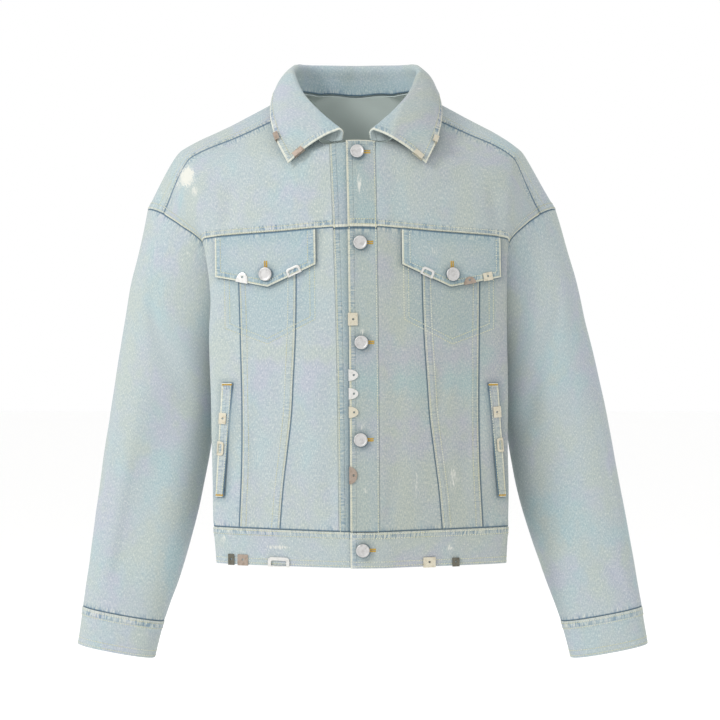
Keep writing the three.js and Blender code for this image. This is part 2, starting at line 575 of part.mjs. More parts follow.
// Something sewn on a front panel: columns of X, each from a top to a foot in t or height
function patch(name, side, columns, steps, out, thick, material) {
  const [outer, inner] = [[], []];
  for (const v of even(0, 1, steps)) {
    const points = columns.map(({ topX, topZ, footX, footZ }) => {
      const { a, t } = locate(lerp(footX, topX, v), lerp(footZ, topZ, v));
      return { p: onBody(side, a, t), n: bodyNormal(side, a, t) };
    });
    outer.push(points.map(({ p, n }) => p.clone().addScaledVector(n, out)));
    inner.push(points.map(({ p, n }) => p.clone().addScaledVector(n, out - thick)));
  }
  add(name, geometryOf(wallFaces(outer, inner)), material);
}

const FLAP_TOP = LAID_GAP + DOUBLE;
const heightOfSeam = (x, below) => {
  const t = YOKE_SEAM;
  return sheet(acrossAt(x, t), t)[2] - below;
};
// The foot of a pointed piece: straight from one side down to its point and up to the other
const foot = ({ x, z }) => (at) => {
  const i = at < x[1] ? 0 : 1;
  return lerp(z[i], z[i + 1], (at - x[i]) / (x[i + 1] - x[i]));
};

for (const [side, hand] of [[1, "left"], [-1, "right"]]) {
  const pointed = (shape, below) => {
    const columns = join(even(shape.x[0], shape.x[1], 3), even(shape.x[1], shape.x[2], 3));
    return columns.map((x) => ({ topX: x, footX: x, topZ: heightOfSeam(x, below), footZ: foot(shape)(x) }));
  };
  patch(`flap_${hand}`, side, pointed(FLAP, 0.5), 3, FLAP_TOP, DOUBLE, denimDouble);
  patch(`pocket_${hand}`, side, pointed(POUCH, POUCH_TOP), 3, -PLY - LAID_GAP, 1, denim);
  const welt = [0, 0.5, 1].map((v) => ({
    topX: WELT.topX + v * WELT.topWidth, topZ: WELT.topZ,
    footX: WELT.footX + v * WELT.footWidth, footZ: WELT.footZ,
  }));
  patch(`welt_${hand}`, side, welt, 5, LAID_GAP + PLY, PLY, denimDouble);
}

// Sleeves and cuffs: tubes whose columns start at the body's rows round the armhole
const ALL_ROWS = join(LOWER_ROWS, YOKE_ROWS, BACK_YOKE_ROWS, BACK_ROWS);
const AROUND = ALL_ROWS.filter((t) => t >= UNDERARM && t <= BACK_UNDERARM);
function tube(name, side, rings, thick, material) {
  const [outer, inner] = [[], []];
  for (const ring of rings) {
    const points = AROUND.map((row) => {
      const t = row === BACK_UNDERARM ? UNDERARM : row;
      const far = onSleeve(side, t, ring + STEP).distanceTo(onSleeve(side, t, ring));
      const inset = (SEAM_GAP / 2) * (STEP / far);
      const ends = ring === rings.at(-1) && ring < CUFF_EDGE;
      const s = ring + (ring === rings[0] ? inset : 0) - (ends ? inset : 0);
      const n = ring === 0 ? edgeNormal(side, row) : sleeveNormal(side, t, ring);
      return { p: onSleeve(side, t, s), n };
    });
    points[points.length - 1] = points[0];
    outer.push(points.map(({ p }) => p));
    inner.push(points.map(({ p, n }) => p.clone().addScaledVector(n, -thick)));
  }
  add(name, geometryOf(wallFaces(outer, inner, { closed: true })), material);
}
for (const [side, hand] of [[1, "left"], [-1, "right"]]) {
  tube(`sleeve_${hand}`, side, join([0, 0.35, 0.7, 1.2, 2, 3, 4, 5, 6, CUFF_SEAM]), PLY, denim);
  tube(`cuff_${hand}`, side, even(CUFF_SEAM, CUFF_EDGE, 2), DOUBLE, denimDouble);
}

// The neckline, from 0 at the centre back to 1 at the front end of the collar
const NECKLINE = { share: [0, 0.18, 0.36, 0.5, 0.66, 0.88, 1], t: [12, 11, 10, 9, 8, 7, 7] };
function neckline(u) {
  const t = clamp(curve(NECKLINE.share, NECKLINE.t)(u)[0], NECK, BACK_NECK);
  if (u > NECKLINE.share[5]) {
    const x = lerp(PLACKET_SEAM, COLLAR_END, (u - NECKLINE.share[5]) / (1 - NECKLINE.share[5]));
    return { a: acrossAt(x, NECK), t: NECK };
  }
  return { a: neckEdge(t, () => PLACKET_SEAM), t };
}
const collarRoll = curve(COLLAR.map((c) => c.at), COLLAR.map((c) => [c.rx, c.ry, c.rz]));
const collarEdge = curve(COLLAR.map((c) => c.at), COLLAR.map((c) => [c.ox, c.oy, c.oz]));

// One section of the collar: up the stand, over the roll and down the fall
function collarSection(u) {
  const { a, t } = neckline(u);
  const foot = new THREE.Vector3(...sheet(a, t));
  const roll = new THREE.Vector3(...collarRoll(u));
  const edge = new THREE.Vector3(...collarEdge(u));
  const away = edge.clone().sub(roll).setZ(0).normalize();
  const stand = roll.clone().sub(foot);
  foot.addScaledVector(stand.normalize(), COLLAR_FOOT);
  const fall = edge.clone().sub(roll);
  const beside = (outward, on) => roll.clone().addScaledVector(away, outward).addScaledVector(on, ROLL_RADIUS);
  const inside = beside(-ROLL_RADIUS, stand.normalize().negate());
  const outside = beside(ROLL_RADIUS, fall.normalize());
  const lift = away.clone().multiplyScalar(FALL_BOW * 0.6).setZ(FALL_BOW * 0.6);
  const middle = outside.clone().lerp(edge, 0.45).add(lift);
  const low = outside.clone().lerp(edge, 0.78).addScaledVector(lift, 0.6);
  return [foot, foot.clone().lerp(inside, 0.5), inside, roll, outside, middle, low, edge];
}

function collar() {
  const shares = even(-1, 1, 32);
  const mirrored = (u) => collarSection(Math.abs(u)).map((p) => hung([Math.sign(u || 1) * p.x, p.y, p.z]));
  const lines = shares.map(mirrored);
  const grid = lines.map((line, i) => line.map((p, j) => {
    const across = (line[j + 1] ?? p).clone().sub(line[j - 1] ?? p);
    const onward = (lines[i + 1] ?? lines[i])[j].clone().sub((lines[i - 1] ?? lines[i])[j]);
    return { p, n: across.cross(onward).normalize() };
  }));
  const shell = (out) => grid.map((line) => line.map(({ p, n }) => p.clone().addScaledVector(n, out)));
  add("collar", geometryOf(wallFaces(shell(DOUBLE / 2), shell(-DOUBLE / 2))), denimDouble);
}
collar();

// Sets a piece on a place: its X along an edge or upright, its Z out of the cloth
function placed(mesh, p, x, z) {
  const across = x.clone().addScaledVector(z, -x.dot(z)).normalize();
  mesh.quaternion.setFromRotationMatrix(new THREE.Matrix4().makeBasis(across, z.clone().cross(across), z));
  mesh.position.copy(p);
}
const UP = new THREE.Vector3(0, 0, 1);

function button(name, side, x, z, level) {
  const { radius, rim, shank, rise, height, sides } = BUTTON;
  const dish = 0.3;
  const profile = [
    [0, 0],
    [shank, 0],
    [shank, rise],
    [radius - rim, rise],
    [radius, rise + rim],
    [radius - rim / 2, height - dish],
    [radius - rim * 1.5, height],
    [0, height - dish],
  ];
  const body = new THREE.LatheGeometry(profile.map(([r, h]) => new THREE.Vector2(r, h)), sides);
  body.rotateX(Math.PI / 2);
  const { a, t } = locate(x, z);
  const n = bodyNormal(side, a, t);
  placed(add(name, body, steel), onBody(side, a, t).addScaledVector(n, level + SEAM_GAP), UP, n);
}
for (const b of FRONT_BUTTONS) button(b.name, 1, b.x, b.z, PLACKET_TOP);
for (const [side, hand] of [[1, "left"], [-1, "right"]])
  button(`button_flap_${hand}`, side, FLAP_BUTTON.x, FLAP_BUTTON.z, FLAP_TOP);

// Where a clip sits: the edge's point and run, a way into the cloth, the way out of it, and the cloth's faces
const NEAR = 4;
function frontPlace(side, at, edgeAt, into) {
  const on = ([x, z]) => {
    const { a, t } = locate(Math.abs(x), z);
    return { p: onBody(side * Math.sign(x), a, t), n: bodyNormal(side * Math.sign(x), a, t) };
  };
  const [x, z] = edgeAt(at);
  const { p, n } = on([x, z]);
  const run = on(edgeAt(at + NEAR)).p.sub(on(edgeAt(at - NEAR)).p);
  return { p, n, run, into: on([x + into[0], z + into[1]]).p.sub(p) };
}
function collarPlace(side, u, v, across) {
  const at = (share, step) => {
    const line = collarSection(share);
    const i = clamp(Math.floor(step), 0, line.length - 2);
    const p = line[i].clone().lerp(line[i + 1], step - i);
    return hung([side * p.x, p.y, p.z]);
  };
  const p = at(u, v);
  const onward = at(Math.min(u + 0.03, 1), v).sub(at(u - 0.03, v));
  const up = at(u, v - 0.4).sub(at(u, Math.min(v + 0.4, 7)));
  const n = up.clone().cross(onward).multiplyScalar(-side).normalize();
  const [run, into] = across ? [up, onward.negate()] : [onward, up];
  const bend = across ? 0 : COLLAR_BEND;
  return { p, n, run, into, top: DOUBLE / 2 + bend, thick: DOUBLE + 2 * bend, free: true };
}
const weltEdge = (z) => {
  const v = (z - WELT.topZ) / (WELT.footZ - WELT.topZ);
  return [lerp(WELT.topX + WELT.topWidth, WELT.footX + WELT.footWidth, v), z];
};
const PLACES = {
  flap: ({ side, at }) => {
    const place = frontPlace(side, at, (x) => [x, foot(FLAP)(x)], [0, NEAR]);
    return { ...place, top: FLAP_TOP, thick: DOUBLE };
  },
  placket: ({ at }) => {
    const place = frontPlace(1, at, (z) => [-PLACKET_EDGE, z], [NEAR, 0]);
    return { ...place, top: PLACKET_TOP, thick: DOUBLE };
  },
  welt: ({ side, at }) => ({ ...frontPlace(side, at, weltEdge, [-NEAR, 0]), top: LAID_GAP + PLY, thick: PLY }),
  hem: ({ side, at }) => {
    const on = (x, t) => onBody(side, acrossAt(x, t), t);
    const p = on(at, 0);
    const n = bodyNormal(side, acrossAt(at, 0), 0);
    const run = on(at + NEAR, 0).sub(on(at - NEAR, 0));
    return { p, n, run, into: on(at, 0.1).sub(p), top: 0, thick: DOUBLE, free: true };
  },
  "collar edge": ({ side, at }) => collarPlace(side, at, 7, false),
  "collar front": ({ side, at }) => collarPlace(side, 1, lerp(4, 7, at), true),
};

function outline({ shape, wide, high, bar }, low) {
  const half = wide / 2;
  const face = new THREE.Shape();
  if (shape === "disc") {
    face.absellipse(0, low, half, high - low, 0, Math.PI);
    face.closePath();
  } else {
    const round = shape === "arch" ? high * 0.45 : 1;
    face.moveTo(-half, low);
    face.lineTo(half, low);
    face.lineTo(half, high - round);
    face.quadraticCurveTo(half, high, half - round, high);
    face.lineTo(round - half, high);
    face.quadraticCurveTo(-half, high, -half, high - round);
  }
  const hole = new THREE.Path();
  if (shape === "arch") {
    const [x, top] = [half - bar, high - bar];
    hole.moveTo(-x, 0.5);
    hole.lineTo(x, 0.5);
    hole.lineTo(x, top - 1.5);
    hole.lineTo(x - 1.5, top);
    hole.lineTo(1.5 - x, top);
    hole.lineTo(-x, top - 1.5);
  } else hole.absarc(0, high * 0.5, CLIP_HOLE, 0, 2 * Math.PI);
  face.holes.push(hole);
  return face;
}

function solid(geometry) {
  geometry.deleteAttribute("normal");
  geometry.deleteAttribute("uv");
  const merged = mergeVertices(geometry, 1e-4);
  return new wasm.Manifold(new wasm.Mesh({
    numProp: 3,
    vertProperties: new Float32Array(merged.attributes.position.array),
    triVerts: new Uint32Array(merged.index.array),
  }));
}

function geometryFrom(manifold) {
  const { vertProperties, triVerts, numProp } = manifold.getMesh();
  const g = new THREE.BufferGeometry();
  const points = [];
  for (let i = 0; i < vertProperties.length; i += numProp) points.push(...vertProperties.slice(i, i + 3));
  g.setAttribute("position", new THREE.Float32BufferAttribute(points, 3));
  g.setIndex(Array.from(triVerts));
  return g;
}

function slab(wide, y0, y1, z0, z1) {
  const box = new THREE.BoxGeometry(wide, y1 - y0, z1 - z0);
  return solid(box.translate(0, (y0 + y1) / 2, (z0 + z1) / 2));
}

function clip(spec) {
  const { p, run, into, n, top, thick, free } = PLACES[spec.on](spec);
  const low = -SEAM_GAP - METAL;
  const face = top + SEAM_GAP;
  const back = free ? top - thick - CLIP_SLACK - METAL : top - thick;
  const cut = { depth: METAL, bevelEnabled: false, curveSegments: 4 };
  const plate = new THREE.ExtrudeGeometry(outline(spec, low), cut);
  let made = solid(plate.translate(0, 0, face));
  made = made.add(slab(spec.wide - 2, low, -SEAM_GAP, back, face + METAL / 2));
  if (free) made = made.add(slab(spec.wide - 2, low, CLIP_REACH, back, back + METAL));
  const inward = n.clone().cross(run).dot(into) > 0;
  placed(add(spec.name, geometryFrom(made), steel), p, inward ? run : run.negate(), n);
}
CLIPS.forEach(clip);

export default jacket;
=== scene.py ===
import math

import bmesh
import bpy
import numpy as np
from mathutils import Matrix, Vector
from mathutils.bvhtree import BVHTree


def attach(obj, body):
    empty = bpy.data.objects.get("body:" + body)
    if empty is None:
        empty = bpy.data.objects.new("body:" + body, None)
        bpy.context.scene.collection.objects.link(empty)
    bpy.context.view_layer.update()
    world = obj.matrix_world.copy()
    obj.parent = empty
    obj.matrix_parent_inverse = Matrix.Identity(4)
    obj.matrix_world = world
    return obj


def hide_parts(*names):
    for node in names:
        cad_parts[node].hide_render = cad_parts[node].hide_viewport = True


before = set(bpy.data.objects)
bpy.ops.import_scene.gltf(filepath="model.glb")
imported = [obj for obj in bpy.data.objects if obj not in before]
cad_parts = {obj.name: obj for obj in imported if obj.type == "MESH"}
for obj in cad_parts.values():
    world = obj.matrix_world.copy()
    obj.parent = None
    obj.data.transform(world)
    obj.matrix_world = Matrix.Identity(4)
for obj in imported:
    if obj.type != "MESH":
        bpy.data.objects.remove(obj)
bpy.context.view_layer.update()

# The studio: a pale floor far below the jacket, which is held up at the shoulders as on a wearer, an even
# white surround, and a soft key light from the upper left of the picture.
PAPER = (0.93, 0.93, 0.925)
FLOOR_HEIGHT = -1.1
FLOOR_SIZE = 60.0
CAMERA_PLACE = (-0.002, -3.2, -0.3528)
LENS = 114.3
KEY_LIGHT = {"place": (-2.9, -2.4, 1.9), "size": 1.2, "power": 80.0}
FILL_LIGHT = {"place": (2.6, -2.6, 0.4), "size": 2.2, "power": 3.0}
BACK_LIGHT = {"place": (0.6, 3.2, 1.8), "size": 2.4, "power": 25.0}
TARGET = Vector((0.0, 0.0, -0.35))
FLOOR_GLOW = 0.05
WHITE = (1.0, 1.0, 1.0, 1.0)
# how many times brighter than its own colour the jacket looks in this light
STUDIO_GAIN = 1.25


def srgb(red, green, blue):
    """A colour as read from a picture, in the linear values that shaders take."""
    values = [v / 255 for v in (red, green, blue)]
    return tuple(v / 12.92 if v <= 0.04045 else ((v + 0.055) / 1.055) ** 2.4 for v in values) + (1.0,)


def seen(red, green, blue):
    """A colour as it looks in the picture, less what the studio's light adds to it."""
    return tuple(value / STUDIO_GAIN for value in srgb(red, green, blue)[:3]) + (1.0,)


def set_inputs(node, values):
    for key, value in values.items():
        node.inputs[key].default_value = value


def new_material(name, values):
    """A material, its node tree and its Principled shader with those inputs set."""
    material = bpy.data.materials.new(name)
    material.use_nodes = True
    tree = material.node_tree
    shader = tree.nodes["Principled BSDF"]
    set_inputs(shader, values)
    return material, tree, shader


def soft_light(name, place, size, power):
    lamp = bpy.data.lights.new(name, "AREA")
    lamp.shape = "DISK"
    lamp.size = size
    lamp.energy = power
    light = bpy.data.objects.new(name, lamp)
    light.location = place
    light.rotation_euler = (TARGET - Vector(place)).to_track_quat("-Z", "Y").to_euler()
    bpy.context.scene.collection.objects.link(light)


scene = bpy.context.scene
scene.view_settings.view_transform = "Standard"
camera_data = bpy.data.cameras.new("camera")
camera_data.lens = LENS
camera = bpy.data.objects.new("camera", camera_data)
camera.location = CAMERA_PLACE
camera.rotation_euler = (math.pi / 2, 0, 0)
scene.collection.objects.link(camera)
scene.camera = camera
for light_name, light in (("key", KEY_LIGHT), ("fill", FILL_LIGHT), ("back", BACK_LIGHT)):
    soft_light(light_name, **light)
scene.world = bpy.data.worlds.new("surround")
scene.world.use_nodes = True
set_inputs(scene.world.node_tree.nodes["Background"], {"Color": WHITE, "Strength": 1.0})

floor_mesh = bpy.data.meshes.new("floor")
half = FLOOR_SIZE / 2
corners = [(-half, -half), (half, -half), (half, half), (-half, half)]
floor_mesh.from_pydata([(x, y, FLOOR_HEIGHT) for x, y in corners], [], [(0, 1, 2, 3)])
paper, _, _ = new_material("pale_paper", {"Base Color": (*PAPER, 1.0), "Roughness": 0.9,
                                          "Emission Color": WHITE, "Emission Strength": FLOOR_GLOW})
floor_mesh.materials.append(paper)
floor = bpy.data.objects.new("floor", floor_mesh)
scene.collection.objects.link(floor)

# The body panels: fronts and back of one-ply bleached cotton denim, cut as yokes, centre, middle and side
# panels and felled together. All of them lie on one sheet from the front hem over the shoulder to the back
# hem, worked out in millimetres from a row of stations at each height.
PLY = 1.5
DOUBLE = 2.4
SEAM_GAP = 0.3
LAID_GAP = 0.6
FOLD_RADIUS = 12.0
BOW = 0.3
ACROSS = np.array([0, 0.38, 0.7, 0.76, 0.82, 1.0])
FOLD_START = ACROSS[2]
# centre or neckline, side fold, side seam or armhole
ROWS = {
    "front hem": ((0, -112, -634), (202, -78, -630), (158, 10, -629)),
    "front waist seam": ((0, -118, -585), (205, -80, -580), (160, 12, -580)),
    "front waist": ((0, -123, -461), (206, -80, -460), (160, 14, -459)),
    "front underarm": ((0, -127, -340), (207, -80, -340), (170, 18, -335)),
    "front low armhole": ((0, -128, -256), (208, -80, -262), (184, -38, -272)),
    "front yoke seam": ((0, -126, -172), (210, -80, -186), (209, -54, -192)),
    "upper chest": ((0, -120, -114), (213, -78, -134), (238, -46, -166)),
    "front neck": ((0, -108, -57), (219, -70, -96), (252, -37, -156)),
    "neck side": ((60, -78, -36), (223, -60, -82), (258, -31, -152)),
    "shoulder seam": ((80, -34, -4), (225, -46, -72), (262, -24, -149)),
    "shoulder crest": ((86, 2, 21), (241, 8, -60), (286, 10, -141)),
    "back neck side": ((60, 52, 24), (234, 46, -66), (284, 44, -152)),
    "back neck": ((0, 72, 22), (218, 80, -98), (268, 70, -178)),
    "back yoke seam": ((0, 108, -112), (196, 94, -146), (238, 76, -214)),
    "back low armhole": ((0, 118, -232), (168, 94, -246), (198, 66, -282)),
    "back underarm": ((0, 116, -338), (150, 86, -340), (170, 18, -335)),
    "back waist": ((0, 105, -460), (146, 76, -460), (160, 14, -459)),
    "back waist seam": ((0, 99, -582), (146, 70, -581), (160, 12, -580)),
    "back hem": ((0, 96, -632), (144, 68, -631), (158, 10, -629)),
}
WAIST_SEAM, UNDERARM, YOKE_SEAM, NECK, NECK_SIDE, SHOULDER = 1, 3, 5, 7, 8, 9
BACK_NECK_SIDE, BACK_NECK, BACK_YOKE_SEAM, BACK_UNDERARM, BACK_WAIST_SEAM, BACK_HEM = 11, 12, 13, 15, 17, 18
LEAN = ([-640, -350, -180, 0, 100], [0, -2, -4, -7.5, -8])
SWAY = ([-780, -697, -540, -423, -265, -187, -50, 0], [2, 1.4, -1.3, -3.4, -6.8, -8, -8, -3])
INNER_SEAM = ([-585, -522, -478, -428, -380, -320, -170], [111, 105.5, 100, 94, 91, 87.5, 85])
OUTER_SEAM = ([-585, -497, -406, -340, -170], [165, 161, 160, 161, 164])
PLACKET_SEAM = 25.0
UNDER_PLACKET = ([-585, -300, -190, -57], [30, 32, 34, 37])


def smooth(values, low, high):
    share = np.clip((values - low) / (high - low), 0, 1)
    return share * share * (3 - 2 * share)


def knot_slopes(knots, values):
    """The slope at each knot of a smooth curve, one-sided at its ends."""
    knots, values = np.asarray(knots, float), np.asarray(values, float)
    gaps = np.diff(knots).reshape((-1,) + (1,) * (values.ndim - 1))
    steps = np.diff(values, axis=0) / gaps
    inner = (steps[:-1] * gaps[1:] + steps[1:] * gaps[:-1]) / (gaps[1:] + gaps[:-1])
    return np.concatenate([steps[:1], inner, steps[-1:]])


def blend(u, gap, low, high, low_slope, high_slope):
    return ((1 + 2 * u) * (1 - u) ** 2 * low + u * u * (3 - 2 * u) * high
            + u * (1 - u) ** 2 * gap * low_slope + u * u * (u - 1) * gap * high_slope)


def smooth_curve(knots, values, slopes=None):
    """A function that gives the curve's value at each place of an array."""
    knots, values = np.asarray(knots, float), np.asarray(values, float)
    slopes = knot_slopes(knots, values) if slopes is None else slopes

    def at(places):
        places = np.clip(np.asarray(places, float), knots[0], knots[-1])
        i = np.clip(np.searchsorted(knots, places, side="right") - 1, 0, len(knots) - 2)
        gap = knots[i + 1] - knots[i]
        u = (places - knots[i]) / gap
        if values.ndim > 1:
            gap, u = gap[..., None], u[..., None]
        return blend(u, gap, values[i], values[i + 1], slopes[i], slopes[i + 1])

    return at


def row_stations(centre, fold, side):
    centre, fold, side = (np.array(p, float) for p in (centre, fold, side))
    middle = centre + (fold - centre) * 0.52
    middle[1] += (centre[1] - fold[1]) * BOW
    before = fold + (middle - fold) / np.linalg.norm(middle - fold) * FOLD_RADIUS
    past = fold + (side - fold) / np.linalg.norm(side - fold) * FOLD_RADIUS
    return [centre, middle, before, (before + past) / 4 + fold / 2, past, side]


stations = np.array([row_stations(*row) for row in ROWS.values()])
on_centre = [row[0][0] == 0 for row in ROWS.values()]
across_slopes = np.array([knot_slopes(ACROSS, row) for row in stations])
for i in range(len(stations)):
    if on_centre[i]:
        across_slopes[i, 0, 1:] = 0
    share = min(max(UNDERARM + 2 - i, i - BACK_UNDERARM + 2, 0) / 2, 1)
    meeting = (stations[BACK_HEM - i, 4] - stations[i, 4]) / (2 * (ACROSS[5] - ACROSS[4]))
    across_slopes[i, 5] += (meeting - across_slopes[i, 5]) * share
along = np.concatenate([[0], np.cumsum(np.linalg.norm(np.diff(stations[:, 3], axis=0), axis=1))])
for i in range(BACK_UNDERARM + 1, BACK_HEM + 1):
    along[i] = along[i - 1] + along[BACK_HEM - i + 1] - along[BACK_HEM - i]
down_slopes = knot_slopes(along, stations)
down_slopes[on_centre, 0, 0] = 0
for i, low in ((UNDERARM, UNDERARM - 1), (BACK_UNDERARM, BACK_UNDERARM)):
    down_slopes[i, 5] = (stations[low + 1, 5] - stations[low, 5]) / (along[low + 1] - along[low])
slope_slopes = knot_slopes(along, across_slopes)


def sheet(a, t):
    """The evenly cut sheet at a, 0 at the centre to 1 at the side, and t, a row number."""
    a, t = np.broadcast_arrays(np.clip(a, 0, 1), np.asarray(t, float))
    i = np.clip(np.floor(t).astype(int), 0, len(stations) - 2)
    u = (t - i)[..., None]
    gap = (along[i + 1] - along[i])[..., None]
    k = np.clip(np.searchsorted(ACROSS, a, side="right") - 1, 0, len(ACROSS) - 2)

    def down(values, slopes):
        return [blend(u, gap, values[i, n], values[i + 1, n], slopes[i, n], slopes[i + 1, n])
                for n in (k, k + 1)]

    width = (ACROSS[k + 1] - ACROSS[k])[..., None]
    share = (a - ACROSS[k])[..., None] / width
    return blend(share, width, *down(stations, down_slopes), *down(across_slopes, slope_slopes))


lean = smooth_curve(*LEAN)
sway = smooth_curve(*SWAY)


def hung(points):
    """Points of the evenly cut jacket as it hangs, a little to the wearer's right."""
    points = points.copy()
    points[..., 0] += lean(points[..., 2]) + sway(points[..., 2]) * smooth(np.abs(points[..., 0]), 170, 250)
    return points


def on_body(side, a, t):
    """A place on the hanging jacket: side is 1 on the wearer's left and -1 on the right."""
    points = sheet(a, t)
    points[..., 0] *= side
    return hung(points)


def unit(vectors):
    return vectors / np.maximum(np.linalg.norm(vectors, axis=-1, keepdims=True), 1e-9)


# the small step, across or along, from which a surface's slope is taken
STEP = 0.004


def body_normal(side, a, t):
    a, t = np.broadcast_arrays(np.asarray(a, float), np.asarray(t, float))
    side = side + 0 * a

    def half(hand):
        du = on_body(hand, np.clip(a + STEP, 0, 1), t) - on_body(hand, np.clip(a - STEP, 0, 1), t)
        up, low = np.clip(t + STEP, 0, BACK_HEM), np.clip(t - STEP, 0, BACK_HEM)
        dv = on_body(hand, a, up) - on_body(hand, a, low)
        return unit(np.cross(du, dv)) * hand[..., None]

    normal = half(side)
    centre = (a < 1e-6) & ((t <= NECK) | (t >= BACK_NECK))
    return np.where(centre[..., None], unit(normal + half(-side)), normal)


def bisect(low, high, is_short):
    """Narrows arrays of lows and highs down to where is_short changes."""
    for _ in range(30):
        middle = (low + high) / 2
        short = is_short(middle)
        low, high = np.where(short, middle, low), np.where(short, high, middle)
    return low


def across_at(x, t):
    """The a at which a row has that X."""
    x, t = np.broadcast_arrays(np.asarray(x, float), np.asarray(t, float))
    return bisect(np.zeros(x.shape), np.full(x.shape, ACROSS[3]), lambda a: sheet(a, t)[..., 0] < x)


def locate(x, z):
    """The place on the front at that X and height."""
    x, z = np.broadcast_arrays(np.asarray(x, float), np.asarray(z, float))
    a = across_at(x, np.full(x.shape, float(UNDERARM)))
    for _ in range(8):
        t = bisect(np.zeros(x.shape), np.full(x.shape, NECK + 0.9), lambda row: sheet(a, row)[..., 2] < z)
        a = across_at(x, t)
    return a, t


def arc(points, axis):
    """How far each point of a grid is along its row or column, in millimetres."""
    steps = np.linalg.norm(np.diff(points, axis=axis), axis=-1)
    start = np.zeros_like(np.take(steps, [0], axis=axis))
    return np.concatenate([start, np.cumsum(steps, axis=axis)], axis=axis)


# how far from each end of a grid its extra points lie, in millimetres
EDGE_STEPS = np.array([0.25, 0.7, 1.4, 2.6, 4.2])


def paced(path, low, high, step):
    """Parameters from low to high, a step apart on the path, and closer at its two ends."""
    fine = np.linspace(low, high, 600)
    far = arc(path(fine)[None], 1)[0]
    inner = np.linspace(0, far[-1], max(int(far[-1] / step), 2) + 1)
    if far[-1] > 4 * EDGE_STEPS[-1]:
        reach = EDGE_STEPS[-1] * 1.3
        inner = inner[(inner == 0) | (inner == far[-1]) | ((inner > reach) & (inner < far[-1] - reach))]
    return np.interp(np.sort(np.concatenate([inner, EDGE_STEPS, far[-1] - EDGE_STEPS])), far, fine)


FAR = 99.0
STEP_SIZE = 3.4
LAP_HEIGHT = 0.5
LAP_WIDTH = 10.0
ROUND = 0.7
DEEP_SHARE = 0.4
SEWN_SHIFT = 3.4
LEFT_UV_SHIFT = 900


